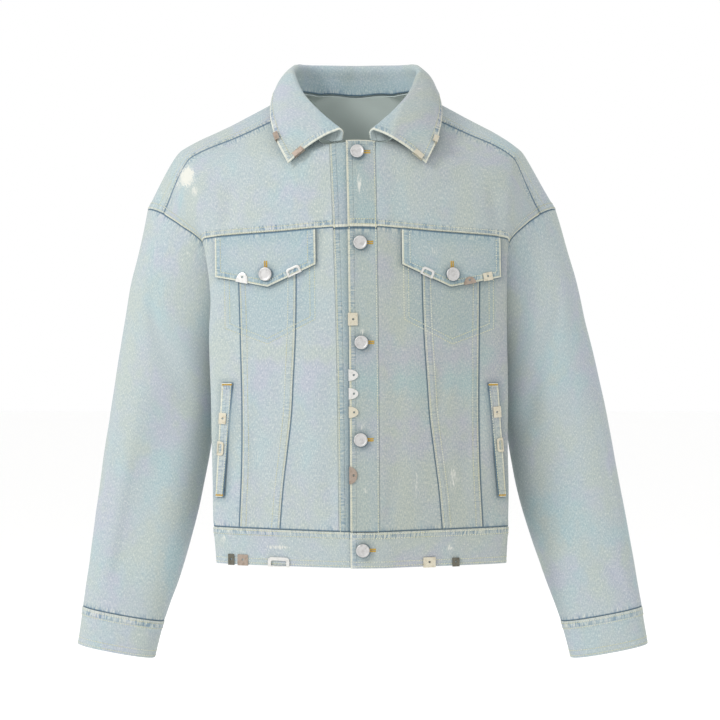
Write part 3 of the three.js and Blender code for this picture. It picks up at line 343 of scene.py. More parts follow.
class Wall:
    """A closed cloth wall on a grid of surface points that runs from start to end and from foot to head.

    The kind of an edge says how it is sewn: a lap lies on top and is stitched down, an under edge goes below
    its neighbour, a deep one further, and a sewn one is the lap's own seam. Marks carry the distances on.
    """

    def __init__(self, points, normals, thick, out=0.0, edges=None, relief=0.0, closed=False, joined=None,
                 tint=0.0, crossing=None, tone=0.0, shade=FAR, ridge=1.0):
        self.closed, self.joined, self.base, self.normals = closed, joined, points, normals
        across, down = arc(points, 1), arc(points, 0)
        far = {"start": across, "end": across[:, -1:] - across, "foot": down, "head": down[-1:] - down}
        lift = 0 * across
        marks = {key: lift + FAR for key in ("lap_level", "lap_upright", "under_level", "under_upright")}
        # two of these marks are painted light: one darkens the side away from the key light as painted shade,
        # and the shade mark gives distances for a painted shadow beside pieces laid on the cloth
        for key, value in (("tint", tint), ("tone", tone), ("shade", shade), ("ridge", ridge)):
            marks[key] = value + lift
        for edge, kind in (edges or {}).items():
            d = far[edge] * (DEEP_SHARE if kind == "deep" else 1.0) + (SEWN_SHIFT if kind == "sewn" else 0.0)
            lies = "level" if edge in ("foot", "head") else "upright"
            key = ("under_" if kind in ("under", "deep") else "lap_") + lies
            marks[key] = np.minimum(marks[key], d)
            if kind == "lap":
                lift = np.maximum(lift, LAP_HEIGHT * (1 - smooth(d, LAP_WIDTH, LAP_WIDTH + 3)))
            if kind == "under":
                lift = lift - 0.25 * (1 - smooth(d, 0, 4))
        if crossing is not None:
            crest = np.where(crossing > -2.2, np.abs(crossing), 12.0)
            hollow = np.where(crossing < -0.5, np.abs(crossing + 3.0), FAR)
            marks["lap_level"] = np.minimum(marks["lap_level"], crest)
            marks["under_level"] = np.minimum(marks["under_level"], hollow)
            raised = smooth(crossing, -2, 0) * (1 - smooth(crossing, LAP_WIDTH, LAP_WIDTH + 3))
            lift = lift + LAP_HEIGHT * raised
        free = ["foot", "head"] + ([] if closed else ["end"])
        if not closed and joined is None:
            free.append("start")
        r = min(ROUND, thick / 2)
        inward = np.clip(r - np.min([far[edge] for edge in free], axis=0), 0, r)
        rounded = r - np.sqrt(np.maximum(r * r - inward * inward, 0))
        self.outer = points + normals * (out + (lift + relief) - rounded)[..., None]
        self.inner = points + normals * (relief + out - thick + rounded)[..., None]
        self.marks = marks
        middle = points.shape[1] // 2
        left = points[..., 0].mean() > 0
        sideways = across - across[:, middle:middle + 1] + (LEFT_UV_SHIFT if left else 0)
        if joined is not None:
            sideways = across if left else -across
        self.uv = np.stack([sideways, down[:, middle:middle + 1] + 0 * across], -1)

    def cut(self):
        """The flat width, length and area of the cloth, in metres."""
        across, down = arc(self.base, 1)[:, -1].max(), arc(self.base, 0)[-1].max()
        over, up = np.diff(self.base, axis=1)[:-1], np.diff(self.base, axis=0)[:, :-1]
        area = np.linalg.norm(np.cross(over, up), axis=-1).sum()
        return across / 1e3, down / 1e3, area / 1e6

    def parts(self):
        """Its points, faces, UV places and marks."""
        m, n = self.outer.shape[:2]
        corner = np.arange(m * n).reshape(m, n)
        n -= self.closed
        order = np.arange(m * n).reshape(m, n)
        if self.closed:
            order = np.concatenate([order, order[:, :1]], 1)
        inner = order + m * n
        faces, places = [], []

        def quads(points, spots, turn, turned=(0, 3, 2, 1)):
            pick = turned if turn else (0, 1, 2, 3)
            faces.append(np.stack([points[i].ravel() for i in pick], -1))
            places.append(np.stack([spots[i].ravel() for i in pick], -1))

        squares = (np.s_[:-1, :-1], np.s_[:-1, 1:], np.s_[1:, 1:], np.s_[1:, :-1])
        for grid, turn in ((order, False), (inner, True)):
            quads([grid[s] for s in squares], [corner[s] for s in squares], turn)
        for row, turn in ((0, True), (-1, False)):
            here, after = corner[row, :-1], corner[row, 1:]
            quads([order[row, :-1], order[row, 1:], inner[row, 1:], inner[row, :-1]],
                  [here, after, after, here], turn)
        for column, turn in () if self.closed else ((0, False), (-1, True)):
            rows = np.arange(m - 1)
            if column == 0 and self.joined is not None:
                rows = rows[~self.joined[:-1]]
            here, after = corner[rows, column], corner[rows + 1, column]
            below = rows + 1
            quads([order[rows, column], order[below, column], inner[below, column], inner[rows, column]],
                  [here, after, after, here], turn, (3, 2, 1, 0))
        faces, places = np.concatenate(faces), np.concatenate(places)
        keep = np.s_[:, :-1] if self.closed else np.s_[:, :]
        points = np.concatenate([self.outer[keep].reshape(-1, 3), self.inner[keep].reshape(-1, 3)])
        mid = (self.outer.shape[0] // 2, self.outer.shape[1] // 2)
        first = (self.outer[mid[0], mid[1] + 1] - self.outer[mid],
                 self.outer[mid[0] + 1, mid[1]] - self.outer[mid])
        if np.dot(np.cross(*first), self.normals[mid]) < 0:
            faces, places = faces[:, ::-1], places[:, ::-1]
        marks = {key: np.tile(values[keep].ravel(), 2) for key, values in self.marks.items()}
        marks["inside"] = np.repeat([0.0, 1.0], m * n)
        return points, faces, self.uv.reshape(-1, 2)[places.ravel()], marks


def add_piece(name, mesh, replaced=None):
    """Puts a mesh in the scene as a piece on the jacket's one body."""
    piece = bpy.data.objects.new(name, mesh)
    scene.collection.objects.link(piece)
    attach(piece, "root")
    if replaced:
        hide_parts(replaced)
    return piece


def shade_smooth(mesh):
    mesh.polygons.foreach_set("use_smooth", np.ones(len(mesh.polygons), bool))


def cloth_piece(name, walls, material):
    """One mesh from one or more walls, welded where they join."""
    made = [wall.parts() for wall in walls]
    starts = np.cumsum([0] + [len(p[0]) for p in made])
    points = np.concatenate([p[0] for p in made]) / 1000
    faces = np.concatenate([p[1] + starts[i] for i, p in enumerate(made)])
    uv = np.concatenate([p[2] for p in made]) / 1000
    mesh = bpy.data.meshes.new(name)
    mesh.vertices.add(len(points))
    mesh.vertices.foreach_set("co", points.ravel())
    mesh.loops.add(faces.size)
    mesh.loops.foreach_set("vertex_index", faces.ravel())
    mesh.polygons.add(len(faces))
    mesh.polygons.foreach_set("loop_start", np.arange(0, faces.size, 4))
    mesh.uv_layers.new(name="cloth").data.foreach_set("uv", uv.ravel())
    for key in made[0][3]:
        values = np.concatenate([p[3][key] for p in made])
        mesh.attributes.new(key, "FLOAT", "POINT").data.foreach_set("value", values)
    mesh.update(calc_edges=True)
    if len(walls) > 1:
        bm = bmesh.new()
        bm.from_mesh(mesh)
        bmesh.ops.remove_doubles(bm, verts=bm.verts, dist=1e-5)
        bm.to_mesh(mesh)
        bm.free()
    shade_smooth(mesh)
    mesh.materials.append(material)
    piece = add_piece(name, mesh, name.removeprefix("cloth_"))
    cuts = [wall.cut() for wall in walls]


def group_tree(name, inputs, outputs):
    tree = bpy.data.node_groups.new(name, "ShaderNodeTree")
    for kind, key, value in inputs:
        socket = tree.interface.new_socket(key, in_out="INPUT", socket_type=kind)
        if value is not None:
            socket.default_value = value
    for kind, key in outputs:
        tree.interface.new_socket(key, in_out="OUTPUT", socket_type=kind)
    return tree, tree.nodes.new("NodeGroupInput"), tree.nodes.new("NodeGroupOutput")


class Nodes:
    """Short ways to add and link shader nodes in one tree."""

    def __init__(self, tree):
        self.tree = tree

    def put(self, socket, value):
        if isinstance(value, bpy.types.NodeSocket):
            self.tree.links.new(value, socket)
        else:
            socket.default_value = value

    def math(self, operation, first, second=0.0):
        node = self.tree.nodes.new("ShaderNodeMath")
        node.operation = operation
        self.put(node.inputs[0], first)
        self.put(node.inputs[1], second)
        return node.outputs[0]

    def times(self, first, second):
        return self.math("MULTIPLY", first, second)

    def plus(self, first, second):
        return self.math("ADD", first, second)

    def larger(self, first, second):
        return self.math("MAXIMUM", first, second)

    def ramp(self, value, low, high, start=0.0, end=1.0):
        node = self.tree.nodes.new("ShaderNodeMapRange")
        node.interpolation_type = "SMOOTHSTEP"
        for socket, v in zip(node.inputs, (value, low, high, start, end)):
            self.put(socket, v)
        return node.outputs[0]

    def mix(self, share, first, second, blend_type="MIX"):
        node = self.tree.nodes.new("ShaderNodeMix")
        node.data_type, node.blend_type = "RGBA", blend_type
        self.put(node.inputs[0], share)
        self.put(node.inputs[6], first)
        self.put(node.inputs[7], second)
        return node.outputs[2]

    def stretch(self, vector, scale, offset=(0.0, 0.0, 0.0)):
        node = self.tree.nodes.new("ShaderNodeMapping")
        self.put(node.inputs["Vector"], vector)
        set_inputs(node, {"Scale": scale, "Location": offset})
        return node.outputs[0]

    def noise(self, vector, scale, detail=2.0, roughness=0.5):
        node = self.tree.nodes.new("ShaderNodeTexNoise")
        self.put(node.inputs["Vector"], vector)
        set_inputs(node, {"Scale": scale, "Detail": detail, "Roughness": roughness})
        return node.outputs["Fac"]

    def mark(self, name):
        node = self.tree.nodes.new("ShaderNodeAttribute")
        node.attribute_name = name
        return node.outputs["Fac"]

    def place(self):
        return self.tree.nodes.new("ShaderNodeTexCoord").outputs["Object"]

    def vector(self, operation, *given):
        node = self.tree.nodes.new("ShaderNodeVectorMath")
        node.operation = operation
        for socket, value in zip(node.inputs, given):
            self.put(socket, value)
        return node.outputs

    def group(self, tree):
        node = self.tree.nodes.new("ShaderNodeGroup")
        node.node_tree = tree
        return node

    def bump(self, shader, height, strength, distance):
        node = self.tree.nodes.new("ShaderNodeBump")
        set_inputs(node, {"Strength": strength, "Distance": distance})
        self.put(node.inputs["Height"], height)
        self.put(shader.inputs["Normal"], node.outputs["Normal"])


def weave_group():
    """Warp and weft of the denim: a colour share for the yarns and a height in millimetres."""
    tree, given, made = group_tree(
        "denim_weave", [("NodeSocketVector", "Cloth", None)],
        [("NodeSocketFloat", "Yarn"), ("NodeSocketFloat", "Height")])
    n = Nodes(tree)
    cloth = given.outputs["Cloth"]
    twill = tree.nodes.new("ShaderNodeTexWave")
    twill.bands_direction = "DIAGONAL"
    n.put(twill.inputs["Vector"], n.stretch(cloth, (1.0, 1.0, 0.0)))
    set_inputs(twill, {"Scale": 300.0, "Distortion": 1.2, "Detail": 1.0})
    warp = n.noise(n.stretch(cloth, (1300.0, 210.0, 1.0)), 1.0, 2.0, 0.6)
    slub = n.noise(n.stretch(cloth, (820.0, 300.0, 1.0)), 1.0, 2.0, 0.6)
    weft = n.noise(n.stretch(cloth, (260.0, 760.0, 1.0)), 1.0, 1.0)
    yarn = n.plus(n.plus(n.times(warp, 0.42), n.times(slub, 0.38)), n.times(weft, 0.2))
    n.put(made.inputs["Yarn"], yarn)
    n.put(made.inputs["Height"], n.plus(n.times(twill.outputs["Fac"], 0.05), n.times(yarn, 0.3)))
    return tree


def seam_group():
    """How a stitched seam bleaches: blue hollows and pale crests between the rows, a pale turned edge."""
    tree, given, made = group_tree(
        "seam_puckers",
        [("NodeSocketVector", "Cloth", None), ("NodeSocketVector", "Stretch", None),
         ("NodeSocketFloat", "Lap", FAR), ("NodeSocketFloat", "Under", FAR),
         ("NodeSocketFloat", "Pucker", 1.0)],
        [("NodeSocketFloat", key) for key in ("Blue", "Pale", "Edge", "Line", "Height")])
    n = Nodes(tree)
    lap, under = given.outputs["Lap"], given.outputs["Under"]
    stretched = n.vector("MULTIPLY", given.outputs["Cloth"], given.outputs["Stretch"])[0]
    pucker = n.noise(stretched, 1.0, 1.5, 0.55)
    patch = n.noise(given.outputs["Cloth"], 24.0, 1.0)
    near = n.larger(n.ramp(lap, 7.5, 10.5, 1.0, 0.0), n.times(n.ramp(under, 1.0, 11.0, 1.0, 0.0), 0.9))
    near = n.times(near, given.outputs["Pucker"])
    strength = n.times(near, n.ramp(patch, 0.36, 0.6, 0.35, 1.0))

    def groove(place, reach):
        return n.ramp(n.math("ABSOLUTE", n.math("SUBTRACT", lap, place)), 0.2, reach, 1.0, 0.0)

    height = n.math("SUBTRACT", n.times(n.times(near, pucker), 1.5),
                    n.times(n.larger(groove(1.9, 1.1), groove(9.0, 1.4)), 0.45))
    for key, value in (
            ("Blue", n.times(strength, n.ramp(pucker, 0.54, 0.36, 0.0, 1.0))),
            ("Pale", n.times(n.times(strength, n.ramp(pucker, 0.5, 0.66, 0.0, 1.0)), 0.55)),
            ("Edge", n.times(n.ramp(lap, 1.8, 3.2, 1.0, 0.0), n.ramp(pucker, 0.3, 0.5, 0.6, 1.0))),
            # painted shadow: the dark line on an under edge, next to the neighbour's edge that lies over it
            ("Line", n.ramp(under, 0.9, 2.8, 1.0, 0.0)),
            ("Height", height)):
        n.put(made.inputs[key], value)
    return tree


# white-yarn patches as seen from the front: X, height, half width, half height in millimetres, strength
WORN = [
    (-240, -101, 13, 17, 1.0), (-3, -115, 4, 17, 0.62), (1, -314, 4, 6, 0.55), (1, -441, 4, 6, 0.5),
    (6, -529, 5, 8, 0.45), (-139, -486, 3, 17, 0.42), (125, -512, 8, 20, 0.5), (74, -524, 2.5, 22, 0.42),
    (-115, -606, 19, 3.5, 0.62), (119, -607, 6, 6, 0.5), (-188, -596, 6, 7, 0.4), (98, -206, 7, 6, 0.42),
    (-228, -122, 7, 9, 0.6), (-252, -112, 6, 10, 0.5), (-74, -8, 4, 10, 0.4), (65, 33, 4, 5, 0.42),
    (80, 22, 4, 6, 0.4), (-205, -390, 3, 30, 0.3), (205, -300, 3, 34, 0.26),
]


def worn_group():
    """Where the blue is rubbed off down to the white weft, and how much, from the table of patches."""
    tree, _, made = group_tree("worn_patches", [], [("NodeSocketFloat", "Worn")])
    n = Nodes(tree)
    place = n.place()
    depth = tree.nodes.new("ShaderNodeSeparateXYZ")
    n.put(depth.inputs[0], place)
    worn = None
    for x, z, wide, high, strength in WORN:
        scale = (1000 / wide, 0.0, 1000 / high)
        spot = n.vector("LENGTH", n.stretch(place, scale, (-x / wide, 0.0, -z / high)))
        value = n.ramp(spot["Value"], 0.2, 1.5, strength, 0.0)
        worn = value if worn is None else n.larger(worn, value)
    front = n.ramp(depth.outputs["Y"], -0.03, -0.005, 1.0, 0.0)
    n.put(made.inputs["Worn"], n.times(worn, front))
    return tree


WEAVE = weave_group()
SEAM = seam_group()
RUBBED = worn_group()
DEEP_BLUE = seen(112, 140, 162)
# painted shadow: the dark blue beside an edge that lies over the cloth, and beside pieces laid on it
PAINTED_EDGE_SHADOW = seen(84, 112, 132)
PALE_EDGE = seen(234, 235, 220)
WHITE_YARN = seen(242, 244, 238)
TINT = seen(156, 184, 191)
BARE_WEFT = seen(226, 226, 217)
# painted shade: the side of the jacket away from the key light is multiplied by this
SIDE_SHADE_FACTOR = (0.87, 0.85, 0.81, 1.0)
YARN_SHARE = 0.36


def denim(name, base, cyan, lilac, green, inside, puckers):
    """Bleached denim: pale warp yarns over a mottled ground, blue along its seams, white where it is worn."""
    material, tree, shader = new_material(name, {
        "Roughness": 0.88, "Sheen Weight": 0.06, "Sheen Roughness": 0.5, "Specular IOR Level": 0.2})
    n = Nodes(tree)
    uv = tree.nodes.new("ShaderNodeUVMap")
    uv.uv_map = "cloth"
    cloth = uv.outputs["UV"]
    weave, rubbed = n.group(WEAVE), n.group(RUBBED)
    n.put(weave.inputs["Cloth"], cloth)
    seams = []
    for lies, stretch, pucker in (("level", (400.0, 70.0, 1.0), puckers[0]),
                                  ("upright", (70.0, 400.0, 1.0), puckers[1])):
        seam = n.group(SEAM)
        set_inputs(seam, {"Stretch": stretch, "Pucker": pucker})
        n.put(seam.inputs["Cloth"], cloth)
        n.put(seam.inputs["Lap"], n.mark("lap_" + lies))
        n.put(seam.inputs["Under"], n.mark("under_" + lies))
        seams.append(seam)
    blue, pale, edge, line = (n.larger(*(seam.outputs[key] for seam in seams))
                              for key in ("Blue", "Pale", "Edge", "Line"))
    color = base
    for other, scale, place in ((cyan, 11.0, 0.0), (lilac, 14.0, 0.37), (green, 17.0, 0.73)):
        spread = n.noise(n.stretch(cloth, (1.0, 0.7, 1.0), (place, 2 * place, 0.0)), scale, 3.0, 0.6)
        color = n.mix(n.ramp(spread, 0.44, 0.66), color, other)
    yarn, shade = weave.outputs["Yarn"], n.mark("shade")
    crests = n.larger(pale, n.times(edge, n.mark("ridge")))
    # painted shadow beside the flaps, welts, buttons and left placket, from the shade mark's distances
    shadow = n.larger(n.ramp(shade, 0.4, 2.6, 0.62, 0.0), n.ramp(shade, 1.0, 11.0, 0.24, 0.0))
    for share, other in (
            (n.mark("tint"), TINT),
            (n.times(n.ramp(yarn, 0.6, 0.38, 0.0, 1.0), YARN_SHARE), DEEP_BLUE),
            (n.times(n.ramp(yarn, 0.5, 0.66, 0.0, 1.0), YARN_SHARE), WHITE_YARN),
            (n.times(blue, 0.85), DEEP_BLUE),
            (n.times(crests, 0.92), PALE_EDGE),
            # painted shadow under a lapped edge
            (n.times(line, 0.9), PAINTED_EDGE_SHADOW),
            (shadow, PAINTED_EDGE_SHADOW)):
        color = n.mix(share, color, other)
    # painted shade: the wearer's left, away from the key light, is made darker
    color = n.mix(n.mark("tone"), color, SIDE_SHADE_FACTOR, "MULTIPLY")
    frayed = n.noise(n.stretch(cloth, (620.0, 70.0, 1.0)), 1.0, 3.0, 0.7)
    worn = n.ramp(n.plus(n.times(frayed, 2.2), rubbed.outputs["Worn"]), 1.45, 1.9)
    color = n.mix(worn, color, BARE_WEFT)
    n.put(shader.inputs["Base Color"], n.mix(n.mark("inside"), color, inside))
    puckered = n.plus(seams[0].outputs["Height"], seams[1].outputs["Height"])
    n.bump(shader, n.plus(weave.outputs["Height"], puckered), 0.8, 0.001)
    return material


GROUNDS = (seen(192, 202, 202), seen(183, 203, 204), seen(194, 198, 207), seen(195, 204, 197))
denim_body = denim("denim_body", *GROUNDS, inside=seen(218, 230, 225), puckers=(0.9, 0.3))
denim_double = denim("denim_double", *GROUNDS, inside=seen(176, 189, 189), puckers=(0.9, 0.6))

inner_seam = smooth_curve(*INNER_SEAM)
outer_seam = smooth_curve(*OUTER_SEAM)
under_placket = smooth_curve(*UNDER_PLACKET)


def placket_seam(z):
    return PLACKET_SEAM + 0 * z


FRONT_EDGE = {1: placket_seam, -1: under_placket}


def neck_edge(t, edge_x):
    """The a of the neckline or, below it, of the panel's edge at that X."""
    t = np.asarray(t, float)
    x0 = edge_x(sheet(0 * t, np.minimum(t, NECK))[..., 2])
    rising = x0 + (60 - x0) * np.sqrt(np.clip(t - NECK, 0, 1))
    falling = 60 * np.sqrt(np.clip(BACK_NECK - t, 0, 1))
    a = across_at(np.where(t <= NECK, x0, rising), t)
    a = np.where(t >= NECK_SIDE, 0, a)
    return np.where(t > BACK_NECK_SIDE, np.where(t < BACK_NECK, across_at(falling, t), 0), a)


def seam_a(seam):
    return lambda t: across_at(seam(sheet(0.4 + 0 * t, t)[..., 2]), t)


# soft folds of the body: X and height at the start and the end, half width, depth; +X is the wearer's left
FRONT_FOLDS = [
    (-186, -182, -176, -110, 11, -2.0), (-214, -300, -200, -200, 10, -1.6), (188, -178, 176, -110, 11, -1.8),
    (-150, -345, -176, -470, 16, 1.5), (-128, -570, -150, -440, 14, -1.4), (150, -345, 178, -480, 16, 1.4),
    (128, -570, 146, -450, 14, -1.3), (-60, -350, -66, -540, 16, 1.1), (62, -340, 70, -540, 18, 1.1),
    (-90, -120, -140, -95, 12, -1.1), (80, -130, 150, -100, 13, -1.0), (-48, -200, -56, -165, 8, -0.8),
    (-180, -560, -120, -530, 12, 1.0), (170, -560, 110, -536, 12, 1.0), (-35, -578, -45, -500, 9, -0.9),
    (36, -578, 46, -505, 9, -0.9), (-118, -345, -108, -420, 9, -0.8), (112, -345, 104, -425, 9, -0.8),
]
BACK_FOLDS = [
    (-60, -150, -70, -520, 20, 1.6), (48, -160, 58, -560, 18, 1.5), (-150, -270, -60, -380, 15, -1.6),
    (152, -275, 70, -370, 14, -1.5), (0, -420, -8, -575, 14, -1.2), (-120, -575, -90, -440, 14, 1.4),
    (118, -575, 96, -450, 14, 1.3), (-120, -150, -50, -60, 16, -1.0), (110, -150, 40, -64, 15, -0.9),
]


def folded(points, folds):
    """The height of the listed soft folds at those points."""
    height = np.zeros(points.shape[:-1])
    for x0, z0, x1, z1, wide, depth in folds:
        along_fold = np.array([x1 - x0, z1 - z0], float)
        rel = np.stack([points[..., 0] - x0, points[..., 2] - z0], -1)
        share = (rel @ along_fold) / (along_fold @ along_fold)
        off = np.abs(rel[..., 0] * along_fold[1] - rel[..., 1] * along_fold[0]) / np.linalg.norm(along_fold)
        taper = smooth(share, -0.12, 0.3) * (1 - smooth(share, 0.7, 1.12))
        height += depth * taper * np.exp(-((off / wide) ** 2))
    return height


def rolling(points, size, depth, seed):
    """Uneven gentle waves of the cloth between its seams."""
    x, y, z = (points[..., i] / size for i in range(3))
    across = np.sin(1.3 * x + 0.7 * np.sin(0.9 * z + seed) + seed)
    down = np.sin(0.8 * z + 0.9 * np.sin(1.1 * x - seed))
    return depth * (across * down) * np.cos(0.6 * y + seed)


def body_relief(points, front, quiet):
    """Folds and waves, less of them where a seam holds the cloth."""
    relief = 1.7 * folded(points, FRONT_FOLDS if front else BACK_FOLDS) + rolling(points, 34, 1.0, 1.7)
    return (relief + rolling(points, 15, 0.25, 4.1)) * quiet


def held(points, most=14.0, joined=False):
    """0 at the edges of a grid of points and 1 well inside it; a half that is joined runs on at its start."""
    across, down = arc(points, 1), arc(points, 0)
    near = np.minimum(across[:, -1:] - across, np.minimum(down, down[-1:] - down))
    return smooth(near if joined else np.minimum(near, across), 0, most)


POUCH = ((60, 125, 183), (-298, -331, -310))
POUCH_TINT = 0.3
GUSSET = -66.0
RISE, RISE_WIDTH = 2.4, 32.0


def pouch_tint(side, points):
    """The pocket bag behind the front has printed through a little bluer."""
    x, z = points[..., 0] * side, points[..., 2]
    foot = np.interp(x, *POUCH)
    inside = smooth(x, POUCH[0][0] - 1, POUCH[0][0] + 3) * (1 - smooth(x, POUCH[0][2] - 3, POUCH[0][2] + 1))
    inside = np.where(points[..., 1] < GUSSET, inside, 0)
    return POUCH_TINT * inside * smooth(z, foot - 1, foot + 3) * (1 - smooth(z, -200, -175))


FLAP = ((58, 123, 193), (-224, -254, -240))
WELT = {"top": (172, -384, 15), "foot": (186, -539, 11)}


def beyond(points, side, corners):
    """How far the points lie outside an outline given by the X and height of its corners, in millimetres."""
    place = np.stack([points[..., 0] * side, points[..., 2]], -1)
    corners = np.array(corners, float)
    nearest, inside = np.full(place.shape[:-1], FAR), np.zeros(place.shape[:-1], bool)
    for first, last in zip(corners, np.roll(corners, -1, axis=0)):
        line, rel = last - first, place - first
        share = np.clip((rel @ line) / (line @ line), 0, 1)
        nearest = np.minimum(nearest, np.linalg.norm(rel - share[..., None] * line, axis=-1))
        level = (first[1] > place[..., 1]) != (last[1] > place[..., 1])
        crossed = first[0] + (place[..., 1] - first[1]) * line[0] / (line[1] if line[1] else 1e-9)
        inside ^= level & (place[..., 0] < crossed)
    return np.where(inside, -np.minimum(nearest, 3), nearest)


def laid_shade(points, side):
    """Distances to the flap and the welt that lie on the front: cloth beside them is darker."""
    flat = points.copy()
    flat[..., 0] -= lean(points[..., 2])
    (x0, x1, x2), (z0, z1, z2) = FLAP
    (tx, tz, tw), (fx, fz, fw) = WELT["top"], WELT["foot"]
    flap = beyond(flat, side, [(x0, z0), (x1, z1), (x2, z2), (x2, -180), (x0, -168)])
    welt = beyond(flat, side, [(fx, fz), (fx + fw, fz), (tx + tw, tz), (tx, tz)])
    return np.where(points[..., 1] < GUSSET, np.minimum(flap, welt), FAR)


# the height in millimetres of the rows of stations at a panel's foot and head, and where its pace is taken
FOOT_ROW, HEAD_ROW = 120, 90
PACE_AT = 0.45


def panel(side, t0, t1, columns, edges, front=True, joined_from=None, middle=None, extra_rows=(), rise=False):
    """A panel between two rows: columns(t, share) gives a at each share of the way across."""
    rows = paced(lambda t: sheet(np.full(t.shape, PACE_AT), t), t0, t1, STEP_SIZE)
    if len(extra_rows):
        rows = np.unique(np.round(np.concatenate([rows, extra_rows]), 6))
    rows[0] += SEAM_GAP / 2 / FOOT_ROW
    rows[-1] -= SEAM_GAP / 2 / HEAD_ROW
    mid = (t0 + t1) / 2 if middle is None else middle
    shares = paced(lambda s: sheet(columns(np.full(s.shape, mid), s), np.full(s.shape, mid)), 0, 1, STEP_SIZE)
    s, t = np.meshgrid(shares, rows)
    a = columns(t, s)
    points = on_body(side, a, t)
    normals = body_normal(side, a, t)
    normals[:, -1] = np.where(np.isclose(a[:, -1:], 1), edge_normal(side, rows), normals[:, -1])
    joined = None if joined_from is None else rows >= joined_from - 1e-6
    relief = body_relief(points, front, held(points, joined=joined is not None))
    if rise:
        relief += RISE * (1 - smooth(arc(points, 1), 0, RISE_WIDTH)) * (1 - smooth(t, NECK - 0.1, NECK + 0.2))
    chest = front and t1 == YOKE_SEAM
    # painted shade darkens the wearer's left front, away from the key light; painted shadow beside the flap
    # and the welt
    return Wall(points, normals, PLY, edges=edges, relief=relief, joined=joined,
                tint=pouch_tint(side, points) if chest else 0,
                shade=laid_shade(points, side) if chest else FAR,
                tone=(1.0 if t1 == YOKE_SEAM else 0.5) if front and side > 0 else 0.0,
                ridge=0.9 if t1 >= SHOULDER and front else 0.35)


# The sleeve's surface is needed here too: panel edges at the armhole share their normals with it.
SLEEVE = np.array([
    (306, -222, 190, -351, 13, 62), (322, -298, 195, -394, 14, 58), (337, -368, 204, -440, 15, 55),
    (353, -454, 214, -500, 15, 51), (367, -541, 230, -572, 13, 46), (381, -630, 255, -654, 9, 40),
    (391.5, -697, 278, -718, 5, 35), (399, -749, 291, -769, 3, 33),
], float)
SLEEVE_SQUARE = 2.35
ARMHOLE_MIDDLE = ((283 + 170) / 2, (-142 - 335) / 2)
CUFF_SEAM, CUFF_EDGE = 7, 8
loop_t = np.linspace(UNDERARM, BACK_UNDERARM, 241)
loop_far = arc(sheet(np.ones(241), loop_t)[None], 1)[0]
loop_share = smooth_curve(loop_t, loop_far / loop_far[-1])
ring_middles = np.concatenate([[ARMHOLE_MIDDLE], (SLEEVE[:, 0:2] + SLEEVE[:, 2:4]) / 2])
sleeve_knots = np.concatenate([[0], np.cumsum(np.linalg.norm(np.diff(ring_middles, axis=0), axis=1))])


def on_sleeve(side, t, s):
    """The sleeve's surface: t goes round from the front underarm over the shoulder, s down to the cuff."""
    t, s = np.broadcast_arrays(np.asarray(t, float), np.asarray(s, float))
    angle = np.pi - 2 * np.pi * loop_share(t)
    power = 2 / SLEEVE_SQUARE
    wide = np.sign(np.cos(angle)) * np.abs(np.cos(angle)) ** power
    deep = np.sign(np.sin(angle)) * np.abs(np.sin(angle)) ** power
    rings = [sheet(np.ones(t.shape), t)]
    for out_x, out_z, in_x, in_z, y, depth in SLEEVE:
        rings.append(np.stack([(out_x + in_x) / 2 + wide * (out_x - in_x) / 2, y - deep * depth,
                               (out_z + in_z) / 2 + wide * (out_z - in_z) / 2], -1))
    rings = np.array(rings)
    slopes = knot_slopes(sleeve_knots, rings)
    i = np.clip(np.floor(s).astype(int), 0, len(SLEEVE) - 1)
    pick = tuple(np.indices(t.shape))
    gap = (sleeve_knots[i + 1] - sleeve_knots[i])[..., None]
    points = blend((s - i)[..., None], gap, rings[(i, *pick)], rings[(i + 1, *pick)],
                   slopes[(i, *pick)], slopes[(i + 1, *pick)])
    return hung(points * np.array([side, 1, 1]))


def sleeve_normal(side, t, s):
    span = BACK_UNDERARM - UNDERARM
    t, s = np.broadcast_arrays(np.asarray(t, float), np.asarray(s, float))

    def round_t(v):
        return UNDERARM + np.mod(v - UNDERARM, span)

    du = on_sleeve(side, round_t(t + STEP), s) - on_sleeve(side, round_t(t - STEP), s)
    up, low = np.clip(s + STEP, 0, CUFF_EDGE), np.clip(s - STEP, 0, CUFF_EDGE)
    dv = on_sleeve(side, round_t(t), up) - on_sleeve(side, round_t(t), low)
    return unit(np.cross(du, dv)) * -side


def edge_normal(side, t):
    """Walls that meet at the armhole or the side seam end on the line halfway between their normals."""
    t = np.asarray(t, float)
    one = np.ones(t.shape)
    normal = body_normal(side, one, t)
    below = (t <= UNDERARM) | (t >= BACK_UNDERARM)
    normal = np.where(below[..., None], unit(normal + body_normal(side, one, BACK_HEM - t)), normal)
    round_hole = (t >= UNDERARM) & (t <= BACK_UNDERARM)
    around = np.clip(np.where(t >= BACK_UNDERARM - 1e-9, UNDERARM, t), UNDERARM, BACK_UNDERARM)
    return unit(normal + np.where(round_hole[..., None], sleeve_normal(side, around, 0 * t), 0))


def by_row(line, t):
    """A line's value at each row of a grid of t."""
    return line(t[:, 0])[:, None] if t.ndim > 1 else line(t[:1])


def between(start, end):
    """Columns that run evenly from one line to another."""
    def columns(t, s):
        first = by_row(start, t)
        return first + (by_row(end, t) - first) * s
    return columns


def to_fold(edge_x):
    """Columns that run evenly from the neckline or that edge to the side fold."""
    def columns(t, s):
        first = by_row(lambda row: neck_edge(row, edge_x), t)
        return np.where(s < FOLD_START, first + (FOLD_START - first) * s / FOLD_START, s)
    return columns


def side_seam(t):
    return 1 + 0 * t


HANDS = ((1, "left"), (-1, "right"))
